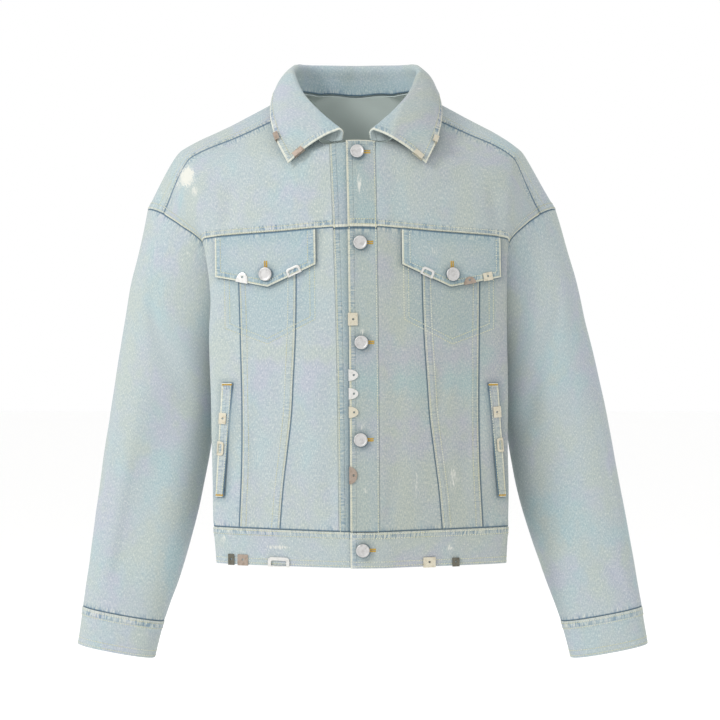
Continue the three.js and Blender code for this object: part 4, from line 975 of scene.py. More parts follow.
# the yoke's column spacing is taken at this row, and rows are added where the neckline curves
YOKE_MIDDLE = 6.5
front_neck_rows = NECK + np.linspace(0.02, 0.95, 12) ** 2
for side, hand in HANDS:
    def edge(t, side=side):
        return neck_edge(t, FRONT_EDGE[side])
    inner, outer = seam_a(inner_seam), seam_a(outer_seam)
    level = {"head": "under", "foot": "under"}
    for name, start, end, edges in (("front_centre", edge, inner, {"end": "under"}),
                                    ("front_middle", inner, outer, {"start": "lap", "end": "lap"}),
                                    ("front_side", outer, side_seam, {"start": "under", "end": "lap"})):
        wall = panel(side, WAIST_SEAM, YOKE_SEAM, between(start, end), edges | level,
                     rise=side > 0 and name == "front_centre")
        cloth_piece(f"cloth_{name}_{hand}", [wall], denim_body)
    wall = panel(side, YOKE_SEAM, SHOULDER, to_fold(FRONT_EDGE[side]),
                 {"foot": "lap", "end": "lap", "head": "deep"},
                 middle=YOKE_MIDDLE, extra_rows=front_neck_rows, rise=side > 0)
    cloth_piece(f"cloth_front_yoke_{hand}", [wall], denim_body)

back_neck_rows = np.concatenate([BACK_NECK - np.linspace(0.02, 0.95, 14) ** 2, [BACK_NECK]])
for name, t0, t1, joined_from, edges, extra_rows, hangs_from in (
        ("cloth_back_yoke", SHOULDER, BACK_YOKE_SEAM, BACK_NECK,
         {"foot": "sewn", "head": "lap", "end": "lap"}, back_neck_rows, ()),
        ("cloth_back_panel", BACK_YOKE_SEAM, BACK_WAIST_SEAM, BACK_YOKE_SEAM,
         {"foot": "under", "head": "under", "end": "under"}, (), ["cloth_back_yoke"])):
    halves = [panel(side, t0, t1, to_fold(lambda z: 0 * z), edges, front=False, joined_from=joined_from,
                    extra_rows=extra_rows) for side, _ in HANDS]
    cloth_piece(name, halves, denim_body)

# The chest pockets: a bag of the same denim inside each front, and outside it a pointed flap, two plies
# turned and stitched, which hangs from under the yoke seam and is held down by a button.
POUCH_TOP = 8
BAG_THICK = 1.0
BAG_STEP = 7.0
FLAP_LEVEL, FLAP_DEPTH = -240.0, 75


def seam_height(x):
    t = np.full(np.shape(x), float(YOKE_SEAM))
    return sheet(across_at(x, t), t)[..., 2]


def on_front(side, x, z):
    """Points and normals of the front; an X below 0 lies past the centre, on the other half."""
    a, t = locate(np.abs(x), z)
    side = np.where(np.asarray(x) < 0, -side, side)
    return on_body(side, a, t), body_normal(side, a, t)


def pointed_grid(side, shape, below, step):
    """A grid from the pointed foot up to just below the yoke seam."""
    (x0, _, x1), _ = shape
    xs = paced(lambda v: on_front(side, v, np.full(v.shape, FLAP_LEVEL))[0], x0, x1, step)
    ups = paced(lambda v: np.stack([0 * v, 0 * v, v * FLAP_DEPTH], -1), 0, 1, step)
    low, high = np.interp(xs, *shape), seam_height(xs) - below
    x = np.repeat(xs[None], len(ups), 0)
    z = low[None] + (high - low)[None] * ups[:, None]
    return on_front(side, x, z)


FLAP_CURL = 0.5
FLAP_BUTTON = (125, -237)
BUTTON_RADIUS = 9.3


def button_shade(points, side, x, z):
    """Distances to a button's rim, drawn a little down and away from the light."""
    return np.hypot(points[..., 0] - side * x - lean(z) - 0.8, points[..., 2] - z + 0.8) - BUTTON_RADIUS + 0.2


for side, hand in HANDS:
    points, normals = pointed_grid(side, FLAP, 0.5, STEP_SIZE)
    down = arc(points, 0)
    curl = FLAP_CURL * (1 - smooth(down, 0, 26)) ** 2 + rolling(points, 17, 0.3, 2.3 + side)
    curl = np.maximum(curl, -0.2) * smooth(down[-1:] - down, 0, 12)
    # painted shadow round the flap's button, and painted shade on the wearer's left flap
    wall = Wall(points, normals, DOUBLE, out=LAID_GAP + DOUBLE, relief=curl,
                edges={"foot": "lap", "start": "lap", "end": "lap", "head": "under"},
                tint=0.62 - 0.4 * held(points, 26), shade=button_shade(points, side, *FLAP_BUTTON),
                tone=0.5 if side > 0 else 0)
    cloth_piece(f"cloth_flap_{hand}", [wall], denim_double)
    points, normals = pointed_grid(side, POUCH, POUCH_TOP, BAG_STEP)
    wall = Wall(points, normals, BAG_THICK, out=-PLY - LAID_GAP)
    cloth_piece(f"cloth_pocket_{hand}", [wall], denim_body)

# The side pockets: a slanting welt, a folded strip of denim, sewn over the slit in each side panel.
WELT_LENGTH = 156


def welt_place(across, up):
    """X and height on the welt: across it from 0 to 1, and up it from 0 to 1."""
    (top_x, top_z, top_wide), (foot_x, foot_z, foot_wide) = WELT["top"], WELT["foot"]
    x = foot_x + across * foot_wide + (top_x + across * top_wide - foot_x - across * foot_wide) * up
    return x, foot_z + (top_z - foot_z) * up


for side, hand in HANDS:
    ups = paced(lambda v: np.stack([0 * v, 0 * v, v * WELT_LENGTH], -1), 0, 1, STEP_SIZE)
    overs = np.array([0, 0.03, 0.08, 0.2, 0.4, 0.6, 0.8, 0.92, 0.97, 1])
    x, z = welt_place(overs[None] + 0 * ups[:, None], ups[:, None] + 0 * overs[None])
    points, normals = on_front(side, x, z)
    # painted shade on the wearer's left welt
    wall = Wall(points, normals, PLY, out=LAID_GAP + PLY, relief=0.3 * rolling(points, 9, 1.0, 0.4) + 0.3,
                edges={"start": "under", "end": "lap", "foot": "lap", "head": "lap"},
                tone=0.8 if side > 0 else 0)
    cloth_piece(f"cloth_welt_{hand}", [wall], denim_double)

# The plackets down the centre front: the left one, folded double, lies over the right one and carries the
# buttonholes; the right one lies under it and carries the buttons.
FRONT_BUTTONS = {
    "button_neck": (0.5, -73), "button_yoke": (2, -195), "button_chest": (2, -329), "button_waist": (0, -460),
    "button_band": (2, -609),
}
PLACKET_EDGE = 14.5
PLACKET_TOP = LAID_GAP + DOUBLE
PLACKET_WIDTH = 45
PLACKET_STEP = 3.0
# the rows added where the yoke seam crosses a placket
CROSSING_ROWS = YOKE_SEAM + np.array([-0.06, -0.036, -0.012, 0.0, 0.02])
OFF_CENTRE = 0.002


def strip_grid(start, end, t0, t1, step):
    """A strip across the centre front, from one X to another at each row."""
    rows = paced(lambda t: on_body(1, np.zeros(t.shape), t), t0, t1, step)
    rows = np.sort(np.concatenate([rows, CROSSING_ROWS]))
    rows[0] += STEP
    rows[-1] -= STEP
    shares = paced(lambda v: np.stack([v * PLACKET_WIDTH, 0 * v, 0 * v], -1), 0, 1, step)
    first, last = start(rows)[:, None], end(rows)[:, None]
    x = first + (last - first) * shares[None]
    side = np.where(x < 0, -1, 1)
    t = rows[:, None] + 0 * x
    a = across_at(np.abs(x), t)
    points = on_body(side, a, t)
    crossing = points[..., 2] - sheet(a, 0 * a + YOKE_SEAM)[..., 2]
    return points, body_normal(side, np.maximum(a, OFF_CENTRE), t), crossing


points, normals, crossing = strip_grid(
    lambda t: -under_placket(sheet(0 * t, t)[..., 2]) + SEAM_GAP / 2,
    lambda t: PLACKET_SEAM - SEAM_GAP / 2 + 0 * t, WAIST_SEAM, NECK, STEP_SIZE)
# painted shade, and a painted shadow beside the edge of the left placket that lies over it
wall = Wall(points, normals, PLY, edges={"start": "lap", "foot": "under"}, tint=0.35, crossing=crossing,
            tone=0.5, ridge=np.where(np.abs(crossing) < 4, 1.0, 0.4),
            shade=-PLACKET_EDGE - 2 - points[..., 0])
cloth_piece("cloth_placket_right", [wall], denim_double)
points, normals, crossing = strip_grid(
    lambda t: -PLACKET_EDGE + 0 * t, placket_seam, WAIST_SEAM, NECK, PLACKET_STEP)
pulled = rolling(points, 13, 0.4, 0.9) + rolling(points, 30, 0.5, 3.0)
# painted shade, and painted shadows round the buttons
wall = Wall(points, normals, DOUBLE, out=PLACKET_TOP, relief=np.maximum(pulled, -0.25) * held(points, 5),
            edges={"start": "lap", "foot": "under", "head": "lap"}, tint=0.2, crossing=crossing, tone=0.9,
            shade=np.min([button_shade(points, 1, *place) for place in FRONT_BUTTONS.values()], axis=0))
cloth_piece("cloth_placket_left", [wall], denim_double)

# The waistband: one long strip folded double round the hem, its left end raised to lie over the right one.
LAP_FROM = 70.0
LAP_TURN = PLACKET_SEAM + 4


def band_place(w, t):
    """A place round the hem: w is 0 to 1 over the left front, to 3 round the back, to 4 over the right."""
    a = np.abs(np.mod(w + 1, 2) - 1)
    side = np.where((w < 0) | ((w > 2) & (w < 4)), -1, 1)
    behind = (w > 1) & (w < 3)
    return side, a, np.where(behind, BACK_HEM - t, t)


def band_grid(rows, step):
    first = -across_at(PLACKET_EDGE, np.zeros(1))[0]
    last = 4 + across_at(PLACKET_SEAM, np.zeros(1))[0]
    w, t = np.meshgrid(paced(lambda w: on_body(*band_place(w, 0.5 + 0 * w)), first, last, step), rows)
    side, a, t = band_place(w, t)
    return on_body(side, a, t), body_normal(side, np.maximum(a, OFF_CENTRE), t), w


rows = paced(lambda t: on_body(1, 0.4 + 0 * t, t), 0, WAIST_SEAM - 1.5 * STEP, STEP_SIZE)
points, normals, w = band_grid(rows, STEP_SIZE)
signed_x = np.where(w < 1, points[..., 0] + 2, LAP_FROM)
lift = PLACKET_TOP * (1 - smooth(signed_x, LAP_TURN, LAP_FROM))
soft = np.maximum(rolling(points, 12, 0.35, 5.0) + rolling(points, 40, 0.8, 1.0), -0.3) * held(points, 6)
# painted shade over the wearer's left half of the band, and a painted shadow round its button
right_half = np.where(w < 2, smooth(points[..., 0], -20, 10), 0)
band_shade = np.where(w < 1, button_shade(points, 1, *FRONT_BUTTONS["button_band"]), FAR)
wall = Wall(points, normals, DOUBLE, relief=lift + soft, edges={"start": "lap", "head": "lap"},
            ridge=np.maximum(0.5, 1 - smooth(arc(points, 1), 2, 5)), tone=0.75 * right_half, shade=band_shade)
cloth_piece("cloth_waistband", [wall], denim_double)

# The sleeves: tubes of the same denim set into the armholes, with a soft crease where each one bends, and a
# cuff folded double at each end.
SLEEVE_ROUND = 520
SLEEVE_PER_T = 34
SLEEVE_ROW = 70
PACE_T = 7.0
# creases of a sleeve: place round it and along it at the start and the end, half width in millimetres, depth
SLEEVE_FOLDS = {
    1: [(5.2, 1.0, 4.0, 3.4, 11, -3.0), (4.6, 3.0, 4.3, 5.6, 13, -3.8), (6.5, 3.4, 7.2, 5.6, 18, 1.5),
        (4.6, 5.4, 5.6, 6.7, 10, -1.4), (9.5, 0.7, 9.0, 2.8, 18, 1.2), (12.6, 0.8, 13.6, 2.6, 12, -2.0),
        (13.4, 2.4, 12.6, 4.8, 14, -1.8), (11.4, 3.6, 11.0, 6.0, 18, 1.4), (13.4, 5.0, 12.4, 6.6, 11, -1.3)],
    -1: [(5.3, 0.9, 4.3, 2.8, 11, -3.4), (4.4, 2.6, 4.7, 4.6, 13, -5.2), (4.7, 4.2, 4.9, 6.4, 13, -5.0),
         (6.6, 3.2, 7.0, 5.8, 18, 1.5), (9.4, 0.8, 9.2, 3.0, 18, 1.1), (12.8, 0.7, 13.5, 2.4, 12, -1.9),
         (13.2, 2.8, 12.8, 5.2, 13, -1.9), (11.2, 3.2, 11.2, 5.8, 18, 1.3), (13.5, 5.2, 12.2, 6.7, 11, -1.2)],
}


def tube_folds(points, t, s, folds):
    """Soft creases laid on a tube, measured in millimetres from the line between their two ends."""
    height = np.zeros(t.shape)
    for t0, s0, t1, s1, wide, depth in folds:
        share = np.clip((s - s0) / (s1 - s0), 0, 1)
        off = np.abs(t - (t0 + (t1 - t0) * share)) * SLEEVE_PER_T
        taper = smooth(s, s0 - 0.3, s0 + 0.6) * (1 - smooth(s, s1 - 0.6, s1 + 0.3))
        height += depth * taper * np.exp(-((off / wide) ** 2))
    return height


def tube_wall(side, s0, s1, thick, edges, relief):
    pull = SEAM_GAP / 2 / SLEEVE_ROW
    t = np.interp(np.linspace(0, 1, int(SLEEVE_ROUND / STEP_SIZE)), loop_far / loop_far[-1], loop_t)
    s = paced(lambda v: on_sleeve(side, np.full(v.shape, PACE_T), v), s0, s1, STEP_SIZE)
    s[0] += pull
    s[-1] -= 0 if s1 == CUFF_EDGE else pull
    t_grid, s_grid = np.meshgrid(np.where(t >= BACK_UNDERARM - 1e-9, UNDERARM, t), s)
    points = on_sleeve(side, t_grid, s_grid)
    normals = sleeve_normal(side, t_grid, s_grid)
    if s0 == 0:
        share = (1 - smooth(s_grid, 0, 0.35))[..., None]
        normals = unit(normals * (1 - share) + edge_normal(side, t)[None] * share)
    down = arc(points, 0)
    quiet = smooth(np.minimum(down, down[-1:] - down), 0, 16)
    return Wall(points, normals, thick, edges=edges, closed=True, ridge=0.5,
                relief=relief(points, np.meshgrid(t, s)[0], s_grid) * quiet)


for side, hand in HANDS:
    def sleeve_relief(points, t, s, side=side):
        bend = tube_folds(points, t, s, SLEEVE_FOLDS[side])
        return bend + rolling(points, 38, 0.8, 2.0 + side) + rolling(points, 16, 0.3, 0.3 * side)
    wall = tube_wall(side, 0, CUFF_SEAM, PLY, {"foot": "under", "head": "under"}, sleeve_relief)
    cloth_piece(f"cloth_sleeve_{hand}", [wall], denim_body)
    wall = tube_wall(side, CUFF_SEAM, CUFF_EDGE, DOUBLE, {"foot": "lap"},
                     lambda points, t, s: rolling(points, 12, 0.3, 1.1) + rolling(points, 30, 0.5, 0.2))
    cloth_piece(f"cloth_cuff_{hand}", [wall], denim_double)

# The collar: two plies of denim turned and topstitched. It stands up from the neckline, rolls over and falls
# to two pointed leaves at the front.
COLLAR = {
    0: ((0, 80, 68), (0, 116, 14)), 0.2: ((60, 66, 67), (82, 96, 12)), 0.36: ((86, 24, 62), (113, 44, 20)),
    0.5: ((88, -16, 44), (117, -18, 7)), 0.64: ((76, -52, 16), (117, -63, -21)),
    0.8: ((52, -86, -13), (109, -103, -54)), 1: ((22, -114, -42), (93, -120, -88)),
}
COLLAR_END, COLLAR_FOOT, ROLL_RADIUS, FALL_BOW = 19.0, 2.4, 3.0, 5.0
NECKLINE = ([0, 0.18, 0.36, 0.5, 0.66, 0.88, 1], [12, 11, 10, 9, 8, 7, 7])
collar_roll = smooth_curve(list(COLLAR), [roll for roll, _ in COLLAR.values()])
collar_edge = smooth_curve(list(COLLAR), [edge for _, edge in COLLAR.values()])
neck_rows_at = smooth_curve(*NECKLINE)


def collar_stations(u):
    """Sections of the collar at shares u from the centre back: up the stand, over the roll, down the fall."""
    t = np.clip(neck_rows_at(u), NECK, BACK_NECK)
    a = neck_edge(t, placket_seam)
    past = u > NECKLINE[0][5]
    x = PLACKET_SEAM + (COLLAR_END - PLACKET_SEAM) * (u - NECKLINE[0][5]) / (1 - NECKLINE[0][5])
    a = np.where(past, across_at(x, 0 * u + NECK), a)
    t = np.where(past, NECK, t)
    foot, roll, edge = sheet(a, t), collar_roll(u), collar_edge(u)
    away = edge - roll
    away[..., 2] = 0
    away = unit(away)
    stand, fall = unit(roll - foot), unit(edge - roll)
    foot = foot + stand * COLLAR_FOOT
    inside = roll - away * ROLL_RADIUS - stand * ROLL_RADIUS
    outside = roll + away * ROLL_RADIUS + fall * ROLL_RADIUS
    lift = away * FALL_BOW * 0.6
    lift[..., 2] = FALL_BOW * 0.6
    middle = outside + (edge - outside) * 0.45 + lift
    low = outside + (edge - outside) * 0.78 + lift * 0.6
    return np.stack([foot, (foot + inside) / 2, inside, roll, outside, middle, low, edge], -2)


def on_collar(u, v):
    """The collar's middle surface: u from -1 to 1 round the neck, v from 0 at the foot to 1 at the edge."""
    u, v = np.broadcast_arrays(np.asarray(u, float), np.asarray(v, float))
    lines = collar_stations(np.abs(u))
    gaps = np.linalg.norm(np.diff(lines, axis=-2), axis=-1)
    far = np.concatenate([np.zeros(gaps.shape[:-1] + (1,)), np.cumsum(gaps, -1)], -1)
    far /= far[..., -1:]
    order = np.moveaxis(lines, -2, 0)
    knots = np.moveaxis(far, -1, 0)[..., None]
    gap = np.diff(knots, axis=0)
    steps = np.diff(order, axis=0) / gap
    inner = (steps[:-1] * gap[1:] + steps[1:] * gap[:-1]) / (gap[1:] + gap[:-1])
    slopes = np.concatenate([steps[:1], inner, steps[-1:]])
    i = np.clip((far <= v[..., None]).sum(-1) - 1, 0, 6)
    pick = (i, *np.indices(i.shape))
    after = (i + 1, *np.indices(i.shape))
    share = (v[..., None] - knots[pick]) / gap[pick]
    points = blend(share, gap[pick], order[pick], order[after], slopes[pick], slopes[after])
    points = points * np.stack([np.where(u < 0, -1.0, 1.0), np.ones(u.shape), np.ones(u.shape)], -1)
    return hung(points)


# creases of the collar: place round it and up it at the start and the end, half width in millimetres, depth
COLLAR_FOLDS = [
    (-0.78, 0.5, -0.7, 0.8, 5, 0.9), (-0.86, 0.62, -0.8, 0.9, 4, 0.8), (0.8, 0.5, 0.72, 0.75, 5, 0.7),
    (-0.3, 0.6, -0.34, 0.9, 8, 0.8), (0.42, 0.55, 0.38, 0.9, 8, 0.8), (0.1, 0.6, 0.14, 0.92, 9, 0.7),
]
COLLAR_HALF = 240
COLLAR_STEP = 2.6
us = paced(lambda u: on_collar(u, np.full(u.shape, 0.75)), -1, 1, STEP_SIZE)
vs = paced(lambda v: on_collar(np.full(v.shape, 0.55), v), 0, 1, COLLAR_STEP)
u, v = np.meshgrid(us, vs)
points = on_collar(u, v)
du = np.gradient(points, axis=1)
dv = np.gradient(points, axis=0)
normals = unit(np.cross(du, dv))
ripple = np.zeros(u.shape)
for u0, v0, u1, v1, wide, depth in COLLAR_FOLDS:
    share = np.clip((v - v0) / (v1 - v0), 0, 1)
    off = np.abs(u - (u0 + (u1 - u0) * share)) * COLLAR_HALF
    taper = smooth(v, v0 - 0.1, v0 + 0.1) * (1 - smooth(v, v1 - 0.1, v1 + 0.08))
    ripple += depth * taper * np.exp(-((off / wide) ** 2))
ripple += rolling(points, 11, 0.35, 0.7) * smooth(v, 0.5, 0.6)
# painted shade on the leaf on the wearer's left
wall = Wall(points, normals, DOUBLE, out=DOUBLE / 2, relief=ripple * smooth(v, 0.3, 0.5) * held(points, 6),
            edges={"foot": "under", "head": "lap", "start": "lap", "end": "lap"},
            tint=(0.62 - 0.3 * smooth(v, 0.05, 0.3)) * (1 - smooth(v, 0.32, 0.46)),
            tone=0.75 * smooth(u, 0, 0.3) * smooth(v, 0.4, 0.5))
cloth_piece("cloth_collar", [wall], denim_double)

# The buttons: satin silver shank buttons, a dished cap pressed over a ring on a riveted shank, five down the
# left placket and one on each flap.
# radius and height over the cloth, in millimetres
BUTTON_PROFILE = [
    (0.0, 0.35), (4.2, 0.35), (4.2, 1.7), (7.9, 1.75), (8.7, 2.0), (9.1, 2.5), (9.3, 3.1), (9.1, 3.7),
    (8.6, 4.1), (7.9, 4.2), (7.3, 4.05), (6.9, 3.75), (6.3, 3.6), (4.0, 3.66), (1.8, 3.72), (0.0, 3.74),
]
BUTTON_SIDES = 56


def metal(name, color, roughness, dirt, dirt_share):
    """Stamped metal: fine scratches and a duller film in uneven patches."""
    material, tree, shader = new_material(name, {"Metallic": 0.85})
    n = Nodes(tree)
    place = n.place()
    film = n.noise(place, 220.0, 3.0, 0.6)
    n.put(shader.inputs["Base Color"], n.mix(n.times(n.ramp(film, 0.45, 0.75), dirt_share), color, dirt))
    n.put(shader.inputs["Roughness"], n.plus(n.times(film, 0.25), roughness))
    n.bump(shader, n.noise(n.stretch(place, (900.0, 900.0, 2600.0)), 1.0, 2.0), 0.5, 0.00004)
    return material


button_silver = metal("button_silver", srgb(196, 195, 194), 0.38, srgb(150, 148, 146), 0.5)


def mesh_from(bm, name, material):
    mesh = bpy.data.meshes.new(name)
    bm.to_mesh(mesh)
    bm.free()
    mesh.materials.append(material)
    return mesh


def button(node, side, x, z, level):
    """The profile turned round the line that stands out of the cloth at that X and height."""
    (point,), (normal,) = (v for v in on_front(side, np.array([float(x)]), np.array([float(z)])))
    across = unit(np.array([0, 0, 1.0]) - normal * normal[2])
    over = np.cross(normal, across)
    base = point + normal * (level + SEAM_GAP)
    bm = bmesh.new()
    turns = [2 * math.pi * i / BUTTON_SIDES for i in range(BUTTON_SIDES)]
    rings = []
    for radius, height in BUTTON_PROFILE:
        ring = []
        for turn in turns if radius else [0.0]:
            place = base + normal * height + (across * math.cos(turn) + over * math.sin(turn)) * radius
            ring.append(bm.verts.new(place / 1000))
        rings.append(ring)
    for low, high in zip(rings, rings[1:]):
        for i in range(BUTTON_SIDES):
            j = (i + 1) % BUTTON_SIDES
            corners = [low[i % len(low)], low[j % len(low)], high[j % len(high)], high[i % len(high)]]
            unique = list(dict.fromkeys(corners))
            if len(unique) > 2:
                bm.faces.new(unique)
    bmesh.ops.recalc_face_normals(bm, faces=bm.faces)
    mesh = mesh_from(bm, f"satin_{node}", button_silver)
    shade_smooth(mesh)
    add_piece(mesh.name, mesh, node)


for node, (x, z) in FRONT_BUTTONS.items():
    button(node, 1, x, z, PLACKET_TOP)
for side, hand in HANDS:
    button(f"button_flap_{hand}", side, *FLAP_BUTTON, PLACKET_TOP)

# The topstitching: pale thread, bleached with the cloth, in rows beside most felled seams and turned edges.
# The shape of one stitch is repeated along each row by Geometry Nodes.
STITCH = {"Length": 3.1, "Width": 1.25, "Height": 0.85}
STITCH_PITCH = 3.4
NEAR_ROW, FAR_ROW = 1.9, 8.6
# each stitch is laid on the cloth along a line that starts this far outside it, in millimetres, and is this
# long, in metres
CAST_FROM, CAST_REACH = 9, 0.02


def stitch_tree():
    tree = bpy.data.node_groups.new("stitches", "GeometryNodeTree")
    tree.interface.new_socket("Geometry", in_out="INPUT", socket_type="NodeSocketGeometry")
    for key in ("Length", "Width", "Height"):
        tree.interface.new_socket(key, in_out="INPUT", socket_type="NodeSocketFloat")
    tree.interface.new_socket("Thread", in_out="INPUT", socket_type="NodeSocketMaterial")
    tree.interface.new_socket("Geometry", in_out="OUTPUT", socket_type="NodeSocketGeometry")
    nodes, link = tree.nodes, tree.links.new
    given, made = nodes.new("NodeGroupInput"), nodes.new("NodeGroupOutput")
    shape = nodes.new("GeometryNodeMeshIcoSphere")
    set_inputs(shape, {"Radius": 0.5, "Subdivisions": 1})
    size = nodes.new("ShaderNodeCombineXYZ")
    for axis, key in zip("XYZ", ("Length", "Width", "Height")):
        link(given.outputs[key], size.inputs[axis])
    turn = None
    for axis, pivot, key in (("X", "AUTO", "run"), ("Z", "X", "face")):
        read = nodes.new("GeometryNodeInputNamedAttribute")
        read.data_type = "FLOAT_VECTOR"
        read.inputs["Name"].default_value = key
        align = nodes.new("FunctionNodeAlignRotationToVector")
        align.axis, align.pivot_axis = axis, pivot
        link(read.outputs["Attribute"], align.inputs["Vector"])
        if turn is not None:
            link(turn, align.inputs["Rotation"])
        turn = align.outputs["Rotation"]
    uneven = nodes.new("FunctionNodeRandomValue")
    uneven.data_type = "FLOAT_VECTOR"
    for socket, value in (("Min", (0.85, 0.85, 0.8)), ("Max", (1.08, 1.15, 1.1)), ("Seed", 7)):
        uneven.inputs[socket].default_value = value
    scale = nodes.new("ShaderNodeVectorMath")
    scale.operation = "MULTIPLY"
    link(size.outputs[0], scale.inputs[0])
    link(uneven.outputs[0], scale.inputs[1])
    place = nodes.new("GeometryNodeInstanceOnPoints")
    link(given.outputs["Geometry"], place.inputs["Points"])
    link(shape.outputs["Mesh"], place.inputs["Instance"])
    link(turn, place.inputs["Rotation"])
    link(scale.outputs[0], place.inputs["Scale"])
    real = nodes.new("GeometryNodeRealizeInstances")
    link(place.outputs["Instances"], real.inputs["Geometry"])
    dress = nodes.new("GeometryNodeSetMaterial")
    link(real.outputs["Geometry"], dress.inputs["Geometry"])
    link(given.outputs["Thread"], dress.inputs["Material"])
    link(dress.outputs["Geometry"], made.inputs["Geometry"])
    return tree


STITCH_TREE = stitch_tree()


def thread(name, color, pale, share):
    """Cotton thread: twisted plies, bleached unevenly along the rows."""
    material, tree, shader = new_material(name, {"Roughness": 0.8, "Specular IOR Level": 0.25})
    n = Nodes(tree)
    place = n.place()
    faded = n.ramp(n.noise(place, 26.0, 2.0), 0.4, 0.62, 0.0, share)
    n.put(shader.inputs["Base Color"], n.mix(faded, color, pale))
    n.bump(shader, n.noise(place, 2600.0, 1.0), 0.4, 0.0002)
    return material


def surface_of(*names):
    """One search tree over the faces of those pieces."""
    points, faces = [], []
    for name in names:
        mesh = bpy.data.objects[f"cloth_{name}"].data
        co = np.empty(len(mesh.vertices) * 3)
        mesh.vertices.foreach_get("co", co)
        faces += [[corner + len(points) for corner in face.vertices] for face in mesh.polygons]
        points += co.reshape(-1, 3).tolist()
    return BVHTree.FromPolygons(points, faces)


class Sewing:
    """Stitches waiting to be set: their places, the way they run and the way out of the cloth."""

    def __init__(self):
        self.places, self.runs, self.faces = [], [], []

    def row(self, surface, path, pitch=STITCH_PITCH, turned=0.0):
        """Stitches a pitch apart on path(share), which gives points and normals in millimetres."""
        points, normals = path(np.linspace(0, 1, 400))
        far = arc(points[None], 1)[0]
        count = max(int(far[-1] / pitch), 1)
        at = (np.arange(count) + 0.5) * far[-1] / count
        spots = np.stack([np.interp(at, far, points[:, i]) for i in range(3)], -1)
        faces = unit(np.stack([np.interp(at, far, normals[:, i]) for i in range(3)], -1))
        runs = np.gradient(spots, axis=0) if count > 1 else points[-1:] - points[:1]
        if turned:
            runs = unit(runs) * math.cos(turned) + np.cross(faces, unit(runs)) * math.sin(turned)
        for spot, face, run in zip(spots, faces, runs):
            start = Vector((spot + face * CAST_FROM) / 1000)
            hit = surface.ray_cast(start, Vector(-face), CAST_REACH)[0]
            if hit is not None:
                self.places.append(np.array(hit))
                self.faces.append(face)
                self.runs.append(run)

    def finish(self, name, size, material):
        mesh = bpy.data.meshes.new(f"{name}_places")
        mesh.from_pydata([tuple(p) for p in self.places], [], [])
        for key, values in (("run", self.runs), ("face", self.faces)):
            flat = unit(np.array(values)).ravel()
            mesh.attributes.new(key, "FLOAT_VECTOR", "POINT").data.foreach_set("vector", flat)
        holder = bpy.data.objects.new(mesh.name, mesh)
        scene.collection.objects.link(holder)
        modifier = holder.modifiers.new("stitches", "NODES")
        modifier.node_group = STITCH_TREE
        values = {key: value / 1000 for key, value in size.items()} | {"Thread": material}
        for item in STITCH_TREE.interface.items_tree:
            if item.in_out == "INPUT" and item.name in values:
                modifier[item.identifier] = values[item.name]
        made = bpy.data.meshes.new_from_object(holder.evaluated_get(bpy.context.evaluated_depsgraph_get()))
        holder.modifiers.remove(modifier)
        bpy.data.objects.remove(holder)
        made.name = name
        shade_smooth(made)
        add_piece(name, made)


def along_t(side, a_of_t, t0, t1, shift):
    """A row up the body beside the line a_of_t, moved across by a shift in millimetres."""
    def path(share):
        t = t0 + (t1 - t0) * share
        a = a_of_t(t)
        low, high = np.clip(a - 0.01, 0, 1), np.clip(a + 0.01, 0, 1)
        width = np.linalg.norm(on_body(side, high, t) - on_body(side, low, t), axis=-1)
        a = np.clip(a + shift * (high - low) / width, 0, 1)
        return on_body(side, a, t), body_normal(side, a, t)
    return path


def along_a(side, t, a0, a1, shift):
    """A row across the body beside row t, moved up by a shift in millimetres."""
    def path(share):
        a = a0 + (a1 - a0) * share
        above, below = on_body(side, a, t + 0.05 + 0 * a), on_body(side, a, t - 0.05 + 0 * a)
        high = np.linalg.norm(above - below, axis=-1)
        row = np.clip(t + shift * 0.1 / high, 0, BACK_HEM)
        return on_body(side, a, row), body_normal(side, a, row)
    return path


def on_lines(side, corners):
    """A row on the front through corners given as X and height."""
    def path(share):
        line = np.array(corners, float)
        far = arc(line[None], 1)[0]
        at = share * far[-1]
        return on_front(side, np.interp(at, far, line[:, 0]), np.interp(at, far, line[:, 1]))
    return path


def along_sleeve(side, s):
    """A row round the sleeve or the cuff at that s."""
    def path(share):
        t = UNDERARM + (BACK_UNDERARM - UNDERARM) * share
        t = np.where(t >= BACK_UNDERARM - 1e-9, UNDERARM, t)
        return on_sleeve(side, t, s + 0 * t), sleeve_normal(side, t, s + 0 * t)
    return path


def on_band(t):
    """A row round the waistband at that t."""
    def path(share):
        first = -across_at(PLACKET_EDGE - 3, np.zeros(1))[0]
        last = 4 - across_at(PLACKET_EDGE + 1, np.zeros(1))[0]
        w = first + (last - first) * share
        side, a, row = band_place(w, t + 0 * w)
        return on_body(side, a, row), body_normal(side, np.maximum(a, OFF_CENTRE), row)
    return path


def on_fall(u, v, step=0.01):
    """Points and normals of the collar."""
    du = on_collar(np.clip(u + step, -1, 1), v) - on_collar(np.clip(u - step, -1, 1), v)
    dv = on_collar(u, np.clip(v + step, 0, 1)) - on_collar(u, np.clip(v - step, 0, 1))
    return on_collar(u, v), unit(np.cross(du, dv))


